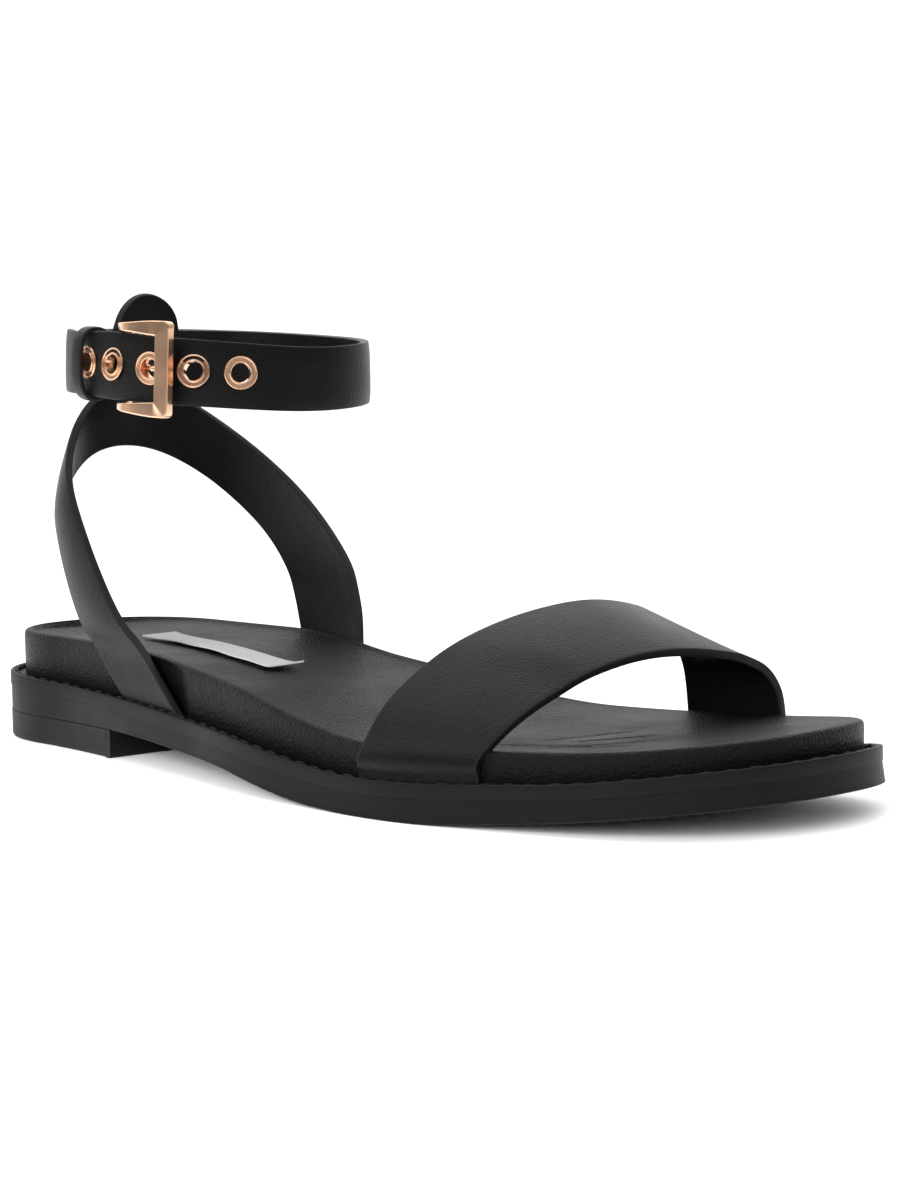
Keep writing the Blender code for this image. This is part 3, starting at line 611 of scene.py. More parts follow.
def heel_outline():
    """Plan points round the heel block, with a straight breast."""
    reach = HEEL_BREAST / LENGTH
    last = HEEL_STATIONS - 1
    shares = [reach * (1 - math.cos(math.pi / 2 * i / last)) for i in range(HEEL_STATIONS)]
    return [outline(s, -1) for s in shares] + [outline(s, 1) for s in reversed(shares[1:])]


def ring_at(points, inset, height):
    """Moves a closed ring of plan points inwards and lifts it to its heights."""
    ring = []
    for i, point in enumerate(points):
        along = (points[(i + 1) % len(points)] - points[i - 1]).normalized()
        depth = inset(point.x / LENGTH) if callable(inset) else inset
        moved = point + depth * Vector((-along.y, along.x))
        ring.append((moved.x, moved.y, height(moved.x / LENGTH, moved.y)))
    return ring


def rings_at(points, rows, height):
    """Rings of a sole piece, one for each row of inset and level."""
    return [ring_at(points, inset, lambda share, y: height(share, y, level)) for inset, level in rows]


def on_sole(share, side, inset):
    """Plan point at an inset from the sole's edge."""
    along = (outline(share + EDGE_STEP, side) - outline(share - EDGE_STEP, side)).normalized()
    return outline(share, side) - side * inset * Vector((-along.y, along.x))


def footbed_edge(share, y):
    """Height of the footbed's edge, from the lateral to the medial side."""
    blend = clamped((y / EDGE_BLEND + 1) / 2)
    return lateral_edge(share) * (1 - blend) + medial_edge(share) * blend


def crease_depth(x, y):
    """Depth of the footbed's creases at a plan point."""
    depth = 0.0
    fade_in, fade_out = CREASE_FADES
    for x0, y0, x1, y1, width, deep in FOOTBED_CREASES:
        line, place = Vector((x1 - x0, y1 - y0)), Vector((x - x0, y - y0))
        share = place.dot(line) / line.length_squared
        away = (place - line * clamped(share)).length
        depth += deep * ease(share, *fade_in) * (1 - ease(share, *fade_out)) * swell(away, 0.0, width)
    return depth


def footbed_top(share, y):
    """Height of the footbed's hollowed top."""
    low, high = outline(share, -1).y, outline(share, 1).y
    across = (2 * y - low - high) / max(high - low, 1.0)
    bowl = hollow(share) * max(1.0 - across ** 2, 0.0)
    return footbed_edge(share, y) - bowl - crease_depth(share * LENGTH, y)


def channel_floor(share):
    """Height of the welt's stitch channel."""
    return rim_height(share) - WELT_CHANNEL


def to_mesh(name, shape):
    """Turns a bmesh in the shoe's millimetres into a smooth-shaded mesh in the world's metres."""
    bmesh.ops.translate(shape, vec=HEEL_END, verts=shape.verts)
    bmesh.ops.scale(shape, vec=(MM, MM, MM), verts=shape.verts)
    bmesh.ops.recalc_face_normals(shape, faces=shape.faces)
    mesh = bpy.data.meshes.new(name)
    shape.to_mesh(mesh)
    shape.free()
    mesh.shade_smooth()
    mesh.set_sharp_from_angle(angle=SHARP)
    return mesh


def add_object(name, data):
    """Puts a mesh, a light or a camera in the scene."""
    added = bpy.data.objects.new(name, data)
    bpy.context.scene.collection.objects.link(added)
    return added


def add_piece(name, mesh, materials, nodes):
    """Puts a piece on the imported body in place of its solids."""
    for material in materials:
        mesh.materials.append(material)
    piece = add_object(name, mesh)
    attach(piece, "root")
    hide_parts(*nodes)
    return piece


def cap(shape, ring, columns, height):
    """Closes a ring with strips from its lateral to its medial side."""
    rows = []
    for i in range(1, (len(ring) + 1) // 2):
        left, right = ring[i], ring[-i]
        row = [left]
        for k in range(1, columns):
            x, y, z = left.co.lerp(right.co, k / columns)
            row.append(shape.verts.new((x, y, height(x / LENGTH, y) if height else z)))
        rows.append(row + [right])
    for a, b in zip(rows, rows[1:]):
        for k in range(columns):
            shape.faces.new((a[k], a[k + 1], b[k + 1], b[k]))
    tips = [(ring[0], rows[0])]
    if len(ring) % 2 == 0:
        tips.append((ring[len(ring) // 2], rows[-1]))
    for tip, row in tips:
        for k in range(columns):
            shape.faces.new((tip, row[k], row[k + 1]))


def joined(shape, rings, closed=False):
    """Joins each ring of points to the next one; returns the rings' vertices."""
    loops = [[shape.verts.new(point) for point in ring] for ring in rings]
    for a, b in zip(loops, loops[1:] + loops[:1] if closed else loops[1:]):
        for k in range(len(a)):
            shape.faces.new((a[k - 1], a[k], b[k], b[k - 1]))
    return loops


def add_tube(shape, rings, closed=False):
    """Joins section rings into a tube, closed on itself or capped at both ends."""
    loops = joined(shape, rings, closed)
    if not closed:
        shape.faces.new(loops[0])
        shape.faces.new(loops[-1])


def sole_solid(name, rings, top_columns=1, top_height=None):
    """Joins rings from the underside to the top into one closed solid."""
    shape = bmesh.new()
    loops = joined(shape, rings)
    cap(shape, loops[0], 1, None)
    cap(shape, loops[-1], top_columns, top_height)
    return to_mesh(name, shape)


def outsole_mesh():
    """Rubber layer with arch, toe spring, flared lower edge and a step in over the heel."""
    def flared(share, portion):
        side = OUTSOLE_INSET + (HEEL_RECESS - OUTSOLE_INSET) * recess(share)
        return side - EDGE_FLARE * (1 - recess(share)) * portion

    def foot_inset(extra):
        return lambda share: flared(share, 1.0) + extra * (1 - RECESS_EASE * recess(share))

    def side_inset(portion, extra):
        return lambda share: flared(share, portion) + extra

    def over_underside(share, y, lift):
        return underside(share) + lift

    def part_way(share, y, portion):
        low = underside(share)
        return low + (rim_height(share) - WELT_HEIGHT - low) * portion

    points = outline_ring(STATIONS)
    foot = [(foot_inset(inset), lift) for inset, lift in OUTSOLE_FOOT]
    side = [(side_inset(portion, inset), height) for portion, inset, height in OUTSOLE_SIDE]
    rings = rings_at(points, foot, over_underside) + rings_at(points, side, part_way)
    return sole_solid("outsole_rubber", rings)


def heel_mesh():
    """Low heel block with a square breast."""
    def part_way(share, y, portion):
        return (underside(share) - HEEL_GAP) * portion

    return sole_solid("heel_rubber", rings_at(heel_outline(), HEEL_SIDE, part_way))


def welt_mesh():
    """Band over the outsole with a rounded rim and a stitch channel."""
    def below_rim(share, y, drop):
        return rim_height(share) - drop

    return sole_solid("welt_rubber", rings_at(outline_ring(STATIONS), WELT_SIDE, below_rim))


def pinched(ring, depth):
    """Draws the outer side of a ring inwards behind the heel strap."""
    start, full, hold, end = PINCH_REACH
    moved = []
    for x, y, z in ring:
        share = ease(x, start, full) * (1 - ease(x, hold, end)) if y < 0 else 0.0
        moved.append((x, y + depth * share, z))
    return moved


def footbed_mesh():
    """Padded footbed with a rounded top edge and a cupped heel."""
    def over_welt(share, y, lift):
        return channel_floor(share) + lift

    def below_edge(share, y, drop):
        return footbed_edge(share, y) - drop

    points = outline_ring(FOOTBED_STATIONS)
    rings = rings_at(points, FOOTBED_FOOT, over_welt) + rings_at(points, FOOTBED_SHOULDER, below_edge)
    rings = [pinched(ring, depth) for ring, depth in zip(rings, PINCH_DEPTHS)]
    rings.append(ring_at(points, FOOTBED_RIM, footbed_top))
    return sole_solid("footbed_leather", rings, FOOTBED_COLUMNS, footbed_top)


def cut_section(row, normals, thickness, edge, arc=4):
    """Closed section of a strap, round both faces and both rounded edges; marks the cut edges."""
    inner = [point - normal * thickness for point, normal in zip(row, normals)]
    ends = []
    for end, beside in ((-1, -2), (0, 1)):
        way, normal = (row[end] - row[beside]).normalized(), normals[end]
        base = row[end] - way * edge
        bend = []
        for depth, first in ((edge, 0), (thickness - edge, 1)):
            for k in range(arc + 1):
                angle = math.pi / 2 * (k / arc + first)
                bend.append(base + way * edge * math.sin(angle) + normal * (edge * math.cos(angle) - depth))
        ends.append(bend)
    high, low = ends
    low.reverse()
    ring = [(low[-1], 0), *((point, 0) for point in row[1:-1]), (high[0], 0)]
    ring += [(point, 1) for point in high[1:-1]]
    ring += [(high[-1], 0), *((point, 0) for point in reversed(inner[1:-1])), (low[0], 0)]
    return ring + [(point, 1) for point in low[1:-1]]


def face_normals(grid, closed):
    """Outward directions at the points of a strap's outer face."""
    count, last = len(grid), len(grid[0]) - 1
    normals = []
    for i, row in enumerate(grid):
        ahead = grid[(i + 1) % count] if closed else grid[min(i + 1, count - 1)]
        behind = grid[i - 1] if closed else grid[max(i - 1, 0)]
        normals.append([
            (row[min(k + 1, last)] - row[max(k - 1, 0)]).cross(ahead[k] - behind[k]).normalized()
            for k in range(last + 1)
        ])
    return normals


def strap_solid(name, grid, thickness, edge, closed=False):
    """Gives rows of outer-face points the leather's thickness and rounded cut edges."""
    shape = bmesh.new()
    loops = []
    for row, normals in zip(grid, face_normals(grid, closed)):
        section = cut_section(row, normals, thickness, edge)
        loops.append([(shape.verts.new(point), mark) for point, mark in section])
    for a, b in zip(loops, loops[1:] + loops[:1] if closed else loops[1:]):
        for k in range(len(a)):
            face = shape.faces.new((a[k - 1][0], a[k][0], b[k][0], b[k - 1][0]))
            face.material_index = 1 if a[k][1] or a[k - 1][1] else 0
    if not closed:
        for loop in (loops[0], loops[-1]):
            face = shape.faces.new([vert for vert, mark in loop])
            face.material_index = 1
    return to_mesh(name, shape)


def strap_foot(places, side):
    """Row of a strap beside the footbed: both edges at one inset from the sole's edge, and its bulge."""
    row = []
    for x, rise in places:
        place = on_sole(x / LENGTH, side, STRAP_SEAT)
        row += [place.x, place.y, channel_floor(x / LENGTH) + STRAP_CLEARANCE + rise]
    low, high = Vector(row[0:2]), Vector(row[3:5])
    outward = side * Vector((low.y - high.y, high.x - low.x)).normalized()
    middle = on_sole((places[0][0] + places[1][0]) / 2 / LENGTH, side, STRAP_SEAT)
    return row + [(middle - (low + high) / 2).dot(outward)]


def evened(values, passes):
    """Averages each row of numbers with its neighbours, over and over; both ends keep their place."""
    for _ in range(passes):
        values = [values[0]] + [
            [(a + 2 * b + c) / 4 for a, b, c in zip(*rows)] for rows in zip(values, values[1:], values[2:])
        ] + [values[-1]]
    return values


def strap_grid(rows, steps, columns, reach=None, folds=(), passes=0):
    """Points over a strap's outer face, crowned between its edges, with listed folds.

    A reach function may carry a section on past its upper edge.
    """
    sections = []
    for values in evened([spline(rows, i / steps) for i in range(steps + 1)], passes):
        sections.append((Vector(values[:3]), Vector(values[3:6]), values[6]))
    middles = [(low + high) / 2 for low, high, crown in sections]
    grid = []
    for i, (low, high, crown) in enumerate(sections):
        along = middles[min(i + 1, steps)] - middles[max(i - 1, 0)]
        outward = (high - low).cross(along).normalized()
        top = reach(high) if reach else high
        length, extra = (high - low).length, (top - high).length
        row = []
        for k in range(columns + 1):
            drawn = max(k / columns - TAB_COLUMNS, 0.0) / (1 - TAB_COLUMNS)
            run = k / columns * length + extra * drawn
            if run <= length or extra < 1e-6:
                across = min(run / length, 1.0)
                bulge = crown * (1 - (2 * across - 1) ** 2) + fold_height(folds, i / steps, across)
                row.append(low.lerp(high, across) + outward * bulge)
            else:
                row.append(high.lerp(top, (run - length) / extra))
        grid.append(row)
    return grid


def fold_height(folds, share, across):
    """Sum of soft ridges and troughs at a place on a strap."""
    return sum(
        height * swell(share, middle, length) * swell(across, side, width)
        for middle, length, side, width, height in folds
    )


def toe_band_grid():
    """Band over the forefoot, from the lateral to the medial side of the welt."""
    lateral = [strap_foot([(x, rise) for x in TOE_BAND_LATERAL], -1) for rise in TOE_BAND_RISES]
    medial = [strap_foot([(x, rise) for x in TOE_BAND_MEDIAL], 1) for rise in TOE_BAND_RISES]
    rows = [*lateral, *TOE_BAND, *reversed(medial)]
    return strap_grid(rows, steps=150, columns=24, folds=TOE_BAND_FOLDS)


def heel_strap_leg(side, foot, rows):
    """Rows of one leg of the heel strap, from the welt up to the back."""
    leg = [strap_foot((row[:2], row[2:]), side) for row in foot]
    for low_x, low_y, low_z, high_x, high_y, high_z in rows:
        leg.append((low_x, side * low_y, low_z, high_x, side * high_y, high_z, HEEL_STRAP_CROWN))
    return leg


def tab_reach(high):
    """Carries the heel strap up into its rounded back tab."""
    away = abs(high.y - TAB_MIDDLE)
    if high.z < TAB_FOOT or away > TAB_HALF_WIDTH + TAB_FILLET:
        return high
    dome = math.sqrt(max(1.0 - min(away / TAB_HALF_WIDTH, 1.0) ** 2, 0.0))
    top = TAB_SHOULDER + (TAB_TOP - TAB_SHOULDER) * dome
    rise = (top - high.z) * (1 - ease(away, TAB_HALF_WIDTH, TAB_HALF_WIDTH + TAB_FILLET))
    return high + rise * Vector((BACK_LEAN, 0.0, 1.0))


def heel_strap_grid():
    """Heel strap from the lateral side round the back, with its tab, to the medial side."""
    lateral = heel_strap_leg(-1, LATERAL_FOOT, HEEL_STRAP_LATERAL)
    medial = heel_strap_leg(1, MEDIAL_FOOT, HEEL_STRAP_MEDIAL)
    rows = [*lateral, (*HEEL_STRAP_BACK, HEEL_STRAP_CROWN), *reversed(medial)]
    return strap_grid(rows, steps=330, columns=28, reach=tab_reach, passes=80)


def loop_point(angle):
    """Plan point on the ankle strap's outer face."""
    x, y = rounded_turn(angle, ANKLE_RADII, ANKLE_SQUARE)
    return Vector((ANKLE_MIDDLE[0] + x, ANKLE_MIDDLE[1] + y))


LOOP_ANGLES = [BUCKLE_ANGLE + 2 * math.pi * i / LOOP_SAMPLES for i in range(LOOP_SAMPLES + 1)]
LOOP_LENGTHS = run_lengths([loop_point(angle) for angle in LOOP_ANGLES])


def loop_frame(length):
    """Place on the ankle strap's outer face, with axes forward along the strap, up and outwards."""
    i, share = stretch_at(LOOP_LENGTHS, length)
    angle = LOOP_ANGLES[i] + share * (LOOP_ANGLES[i + 1] - LOOP_ANGLES[i])
    place = loop_point(angle)
    along = (loop_point(angle + TURN_STEP) - loop_point(angle - TURN_STEP)).normalized()
    height = ANKLE_MIDDLE[2] + sum(s * (p - m) for s, p, m in zip(ANKLE_SLOPE, place, ANKLE_MIDDLE))
    forward = Vector((along.x, along.y, along.dot(Vector(ANKLE_SLOPE)))).normalized()
    outward = Vector((along.y, -along.x, 0.0))
    up = outward.cross(forward)
    axes = Matrix((forward, up, outward)).transposed().to_4x4()
    axes.translation = Vector((place.x, place.y, height))
    return axes


def lifted_frame(length, lift):
    """Frame on the ankle strap, moved up across its width."""
    return loop_frame(length) @ Matrix.Translation((0.0, lift, 0.0))


tail_lift = smooth(TAIL_TAPER, 1)
tail_widening = smooth(TAIL_TAPER, 2)


def ankle_strap_grid(steps=420, columns=14):
    """Band from the buckle back round the ankle to its tail, which passes outside its own start."""
    start, end = BUCKLE_END, TAIL_END - LOOP_LENGTHS[-1]
    low, high, rise = START_LIFT
    slack_place, slack_reach, slack_depth = ANKLE_SAG
    grid = []
    for i in range(steps + 1):
        length = start + (end - start) * i / steps
        axes = loop_frame(length)
        back = max(-axes.col[2].x, 0.0)
        inward = ANKLE_LAYER * ease(length, *LAYER_RAMP) + BACK_TUCK * ease(back, *BACK_TUCK_RANGE)
        lean = BACK_LEAN * back ** 3
        tip = min((length - end) / (ANKLE_WIDTH * TAIL_TIP), (start - length) / START_TIP, 1.0)
        tail = length + LOOP_LENGTHS[-1]
        on_tail = tail < TAIL_TAPER[-1][0]
        lift = tail_lift(tail) if on_tail else rise * ease(length, low, high)
        half_width = ANKLE_WIDTH / 2 + (tail_widening(tail) if on_tail else 0.0)
        half_width *= TIP_WIDTH + (1 - TIP_WIDTH) * math.sqrt(max(1 - (1 - tip) ** 2, 0.0))
        slack = slack_depth * swell(length % LOOP_LENGTHS[-1], slack_place, slack_reach)
        row = []
        for k in range(columns + 1):
            share = 2 * k / columns - 1
            half = half_width * share
            crown = ANKLE_CROWN * share ** 4
            row.append(axes @ Vector((0.0, half + lift - slack, -inward - lean * half - crown)))
        grid.append(row)
    return grid


def punch_mesh(thickness):
    """Cutters for the eyelet holes in the tail."""
    top, bottom = PUNCH_MARGINS[0], -thickness - PUNCH_MARGINS[1]
    shape = bmesh.new()
    for length, lift, lean in EYELETS:
        place = lifted_frame(length, lift) @ Matrix.Translation((0.0, 0.0, (top + bottom) / 2))
        bmesh.ops.create_cone(
            shape, cap_ends=True, segments=PUNCH_SIDES, radius1=EYELET_HOLE, radius2=EYELET_HOLE,
            depth=top - bottom, matrix=place)
    return to_mesh("punch", shape)


def punched(mesh, thickness):
    """Returns the ankle strap's mesh with the eyelet holes cut."""
    strap = add_object("ankle_strap_uncut", mesh)
    punch = add_object("punch", punch_mesh(thickness))
    cut = strap.modifiers.new("Holes", "BOOLEAN")
    cut.object = punch
    cut.operation = "DIFFERENCE"
    cut.solver = "EXACT"
    bpy.context.view_layer.update()
    result = bpy.data.meshes.new_from_object(strap.evaluated_get(bpy.context.evaluated_depsgraph_get()))
    for piece in (strap, punch):
        bpy.data.objects.remove(piece)
    result.name = "ankle_strap"
    result.materials.clear()
    return result


def rounded_rectangle(half_width, half_height, radius, steps):
    """Points of a rounded rectangle, anticlockwise, with a guard point beside each corner."""
    points = []
    for quarter, (sx, sy) in enumerate(((1, 1), (-1, 1), (-1, -1), (1, -1))):
        for k in range(steps + 1):
            angle = math.pi / 2 * (quarter + k / steps)
            turn = radius * math.cos(angle), radius * math.sin(angle)
            corner = sx * (half_width - radius), sy * (half_height - radius)
            points.append((corner[0] + turn[0], corner[1] + turn[1]))
            if k in (0, steps):
                way = BUCKLE_GUARD if k else -BUCKLE_GUARD
                guard = points[-1][0] - way * turn[1], points[-1][1] + way * turn[0]
                points.insert(len(points) if k else len(points) - 1, guard)
    return points


def keeper_grid(thickness, steps=64, columns=10):
    """Rounded loop about both layers of the strap, a little fuller in the middle of its width."""
    axes = lifted_frame(KEEPER_PLACE, KEEPER_MIDDLE[0])
    places = []
    for i in range(steps):
        out, up = rounded_turn(2 * math.pi * i / steps, KEEPER_HALF, KEEPER_SQUARE)
        places.append(Vector((0.0, up, out)))
    grid = []
    for i, place in enumerate(places):
        along = places[(i + 1) % steps] - places[i - 1]
        way = along.cross(Vector((1.0, 0.0, 0.0))).normalized()
        way = way if way.dot(place) > 0 else -way
        row = []
        for k in range(columns + 1):
            share = 2 * k / columns - 1
            lift = thickness + KEEPER_BULGE * (1 - share ** 2)
            offset = Vector((share * KEEPER_LENGTH / 2, 0.0, KEEPER_MIDDLE[1]))
            row.append(axes @ (place + way * lift + offset))
        grid.append(row)
    return grid


def swept(name, rings, closed):
    """Mesh of one tube."""
    shape = bmesh.new()
    add_tube(shape, rings, closed)
    return to_mesh(name, shape)


def buckle_mesh(steps=160):
    """Open frame: wide front bar, arms that taper and curve down past the strap, and a thin pivot bar."""
    columns = [smooth(BUCKLE_FRAME, column) for column in range(1, 7)]
    length = BUCKLE_FRAME[-1][0]
    half = [[column(length * i / steps) for column in columns] for i in range(steps + 1)]
    path = half + [(a, -b, c, -d, out, depth) for a, b, c, d, out, depth in reversed(half[1:-1])]
    edges = [(Vector((a, b, out)), Vector((c, d, out)), depth) for a, b, c, d, out, depth in path]
    axes = lifted_frame(0.0, BUCKLE_LIFT)
    rings = []
    for i, (inner, outer, depth) in enumerate(edges):
        ahead, behind = edges[(i + 1) % len(edges)], edges[i - 1]
        way = (ahead[0] + ahead[1] - behind[0] - behind[1]).normalized()
        side = (outer - inner).normalized()
        front = side.cross(way).normalized()
        corners = rounded_rectangle((outer - inner).length / 2, depth / 2, BUCKLE_EDGE, steps=3)
        rings.append([axes @ ((inner + outer) / 2 + side * a + front * b) for a, b in corners])
    return swept("buckle_metal", rings, True)


def tube_rings(path, radii, sides=14):
    """Round sections along a path."""
    rings = []
    last = len(path) - 1
    for i, (point, radius) in enumerate(zip(path, radii)):
        way = (path[min(i + 1, last)] - path[max(i - 1, 0)]).normalized()
        side = way.orthogonal().normalized() if i == 0 else (side - way * side.dot(way)).normalized()
        other = way.cross(side)
        rings.append([
            point + radius * (side * math.cos(a) + other * math.sin(a))
            for a in (2 * math.pi * k / sides for k in range(sides))
        ])
    return rings


def prong_mesh(steps=70):
    """Prong that hooks round the pivot bar, comes out through its eyelet and rests under the front bar."""
    axes = lifted_frame(0.0, PRONG_LIFT)
    path, radii = [], []
    for i in range(steps + 1):
        along, out, radius = spline(PRONG, i / steps)
        tip = 1 - ease(i, steps - PRONG_TIP[0], steps + 1)
        path.append(axes @ Vector((along, 0.0, out)))
        radii.append(radius * max(tip, PRONG_TIP[1]))
    return swept("prong_metal", tube_rings(path, radii), False)


def eyelet_mesh(name, length, lift, lean):
    """Grommet with two rolled beads, a groove between them and a barrel through the leather."""
    def rolled(radius, height, bead):
        angles = [math.pi * (1 - k / EYELET_BEAD_STEPS) for k in range(EYELET_BEAD_STEPS + 1)]
        return [(radius + bead * math.cos(a), height + bead * math.sin(a)) for a in angles]

    (inner, inner_height, inner_bead), (outer, outer_height, outer_bead) = EYELET_BEADS
    barrel = EYELET_HOLE - EYELET_PLAY
    profile = [
        (inner - inner_bead, EYELET_DEPTH),
        *rolled(inner, inner_height, inner_bead),
        (inner + inner_bead + EYELET_GAP, EYELET_CHANNEL),
        (outer - outer_bead - EYELET_GAP, EYELET_CHANNEL),
        *rolled(outer, outer_height, outer_bead),
        (outer + outer_bead, EYELET_SEAT),
        (barrel, EYELET_SEAT),
        (barrel, EYELET_DEPTH),
    ]
    axes = lifted_frame(length, lift) @ Matrix.Rotation(math.radians(lean), 4, "X")
    rings = []
    for i in range(EYELET_STEPS):
        angle = 2 * math.pi * i / EYELET_STEPS
        rings.append([axes @ Vector((r * math.cos(angle), r * math.sin(angle), h)) for r, h in profile])
    return swept(name, rings, True)


def label_grid(thickness, columns=16, steps=80):
    """Strip that follows the footbed's hollow, a little wavy, with its two ends raised."""
    along = Vector((math.cos(LABEL_TURN), math.sin(LABEL_TURN)))
    across = Vector((-along.y, along.x))
    grid = []
    for i in range(steps + 1):
        share = 1 - 2 * i / steps
        row = []
        for k in range(columns + 1):
            side = 1 - 2 * k / columns
            place = Vector(LABEL_PLACE) + along * LABEL_LENGTH / 2 * share + across * LABEL_WIDTH / 2 * side
            near, far = LABEL_LIFTS[share > 0]
            end = abs(share) ** LABEL_CURL * (near + (far - near) * (1 + side) / 2)
            wave = sum(rise * swell(share, middle, half) for middle, half, rise in LABEL_WAVES)
            lift = LABEL_CLEARANCE + thickness + end + wave * (1 - side) / 2
            row.append(Vector((place.x, place.y, footbed_top(place.x / LENGTH, place.y) + lift)))
        grid.append(row)
    return grid


def stitch_mesh(pitch, thread):
    """Thread of the welt: one low arch for each stitch along the channel's outer wall."""
    points = outline_ring(STITCH_STATIONS)
    lengths = run_lengths(points + points[:1])
    ring = ring_at(points, STITCH_INSET, lambda share, y: rim_height(share) - STITCH_DROP)
    count = round(lengths[-1] / pitch)
    shape = bmesh.new()
    start, reach = STITCH_SPAN
    for n in range(count):
        drift = sum(size * math.sin(turn * n) for size, turn in STITCH_DRIFTS)
        path, radii = [], []
        for k in range(STITCH_POINTS):
            share = k / (STITCH_POINTS - 1)
            i, part = stretch_at(lengths, (n + drift + start + reach * share) * lengths[-1] / count)
            point = Vector(ring[i]).lerp(Vector(ring[(i + 1) % len(ring)]), part)
            bow = math.sin(math.pi * share)
            path.append(point + Vector((0.0, 0.0, (STITCH_RISE + drift) * bow ** STITCH_BOW - STITCH_SINK)))
            radii.append(thread / 2 * (STITCH_THIN + (1 - STITCH_THIN) * bow))
        add_tube(shape, tube_rings(path, radii, STITCH_SIDES))
    return to_mesh("welt_thread", shape)


def new_group(name, inputs, outputs):
    """Empty shader node group with named sockets."""
    group = bpy.data.node_groups.new(name, "ShaderNodeTree")
    for label, default in inputs:
        socket = group.interface.new_socket(label, in_out="INPUT", socket_type="NodeSocketFloat")
        socket.default_value = default
    for label in outputs:
        group.interface.new_socket(label, in_out="OUTPUT", socket_type="NodeSocketFloat")
    return group, group.nodes.new("NodeGroupInput"), group.nodes.new("NodeGroupOutput")


def feed(tree, node, values):
    """Gives a node's inputs their values or the outputs of other nodes."""
    for label, value in values.items():
        if isinstance(value, bpy.types.NodeSocket):
            tree.links.new(value, node.inputs[label])
        else:
            node.inputs[label].default_value = value


def add_node(tree, kind, values=None, **settings):
    """Node of one kind with its settings and inputs."""
    node = tree.nodes.new(kind)
    for name, value in settings.items():
        setattr(node, name, value)
    feed(tree, node, values or {})
    return node


def calculate(tree, operation, first, second):
    """Math node on two sockets or numbers; returns its output."""
    return add_node(tree, "ShaderNodeMath", {0: first, 1: second}, operation=operation).outputs[0]


def along_axis(tree, place, axis):
    """How far a place lies along an axis; returns the output."""
    node = add_node(tree, "ShaderNodeVectorMath", {0: place, 1: axis}, operation="DOT_PRODUCT")
    return node.outputs["Value"]


def spread(tree, value, low, high, start, end):
    """Maps the values from start to end onto a range; returns the output."""
    return add_node(tree, "ShaderNodeMapRange", {
        "Value": value, "From Min": start, "From Max": end, "To Min": low, "To Max": high,
    }).outputs["Result"]


def noise(tree, place, scale, detail):
    """Noise pattern; returns the output."""
    values = {"Vector": place, "Scale": scale, "Detail": detail}
    return add_node(tree, "ShaderNodeTexNoise", values).outputs["Fac"]


def tinted(tree, factor, colour, dark, light):
    """Mixes two shades of one colour by a pattern; returns the output."""
    node = add_node(tree, "ShaderNodeMix", {"Factor": factor}, data_type="RGBA")
    for label, shade in (("A", dark), ("B", light)):
        socket = next(s for s in node.inputs if s.name == label and s.type == "RGBA")
        socket.default_value = (*(part * shade for part in colour), 1.0)
    return next(s for s in node.outputs if s.type == "RGBA")


def bumped(tree, height, distance):
    """Raises a pattern on the surface; returns the output."""
    return add_node(tree, "ShaderNodeBump", {"Height": height, "Distance": distance}).outputs["Normal"]


def grain_group(name):
    """Leather grain: rounded pebbles with fine hair pores, and broad cloudy patches."""
    group, given, result = new_group(
        name, (("Pebbles per metre", 1300.0), ("Pore share", 0.3), ("Upright share", 1.0)),
        ("Height", "Cloud"))
    place = add_node(group, "ShaderNodeTexCoord").outputs["Object"]
    pebbles = given.outputs["Pebbles per metre"]
    pebble = add_node(group, "ShaderNodeTexVoronoi", feature="SMOOTH_F1")
    feed(group, pebble, {"Vector": place, "Scale": pebbles, "Smoothness": PEBBLE_SMOOTHNESS})
    warp = noise(group, place, calculate(group, "MULTIPLY", pebbles, FOLD_SCALE), detail=3.0)
    pore = noise(group, place, calculate(group, "MULTIPLY", pebbles, PORE_SCALE), detail=2.0)
    dome = calculate(group, "SUBTRACT", 1.0, pebble.outputs["Distance"])
    fold = calculate(group, "MULTIPLY", warp, FOLD_SHARE)
    pores = calculate(group, "MULTIPLY", pore, given.outputs["Pore share"])
    height = calculate(group, "ADD", calculate(group, "ADD", dome, fold), pores)
    normal = add_node(group, "ShaderNodeNewGeometry").outputs["Normal"]
    upward = add_node(group, "ShaderNodeSeparateXYZ", {"Vector": normal}).outputs["Z"]
    worn = spread(group, upward, given.outputs["Upright share"], 1.0, *UPRIGHT_RANGE)
    feed(group, result, {
        "Height": calculate(group, "MULTIPLY", height, worn),
        "Cloud": noise(group, place, CLOUDS_PER_METRE, detail=4.0),
    })
    return group


def rub_group(name):
    """Uneven handling: broad soft patches and fine specks."""
    group, given, result = new_group(name, (("Patches per metre", 60.0),), ("Patch", "Speck"))
    place = add_node(group, "ShaderNodeTexCoord").outputs["Object"]
    patches = given.outputs["Patches per metre"]
    feed(group, result, {
        "Patch": noise(group, place, patches, detail=4.0),
        "Speck": noise(group, place, calculate(group, "MULTIPLY", patches, SPECK_SCALE), detail=4.0),
    })
    return group


def place_group(tree, name, maker, values):
    """Places a shared node group, made on its first use; returns its outputs."""
    group = bpy.data.node_groups.get(name) or maker(name)
    return add_node(tree, "ShaderNodeGroup", values, node_tree=group).outputs


def new_material(name):
    """Material with its tree and its Principled BSDF."""
    material = bpy.data.materials.new(name)
    material.use_nodes = True
    return material, material.node_tree, material.node_tree.nodes["Principled BSDF"]


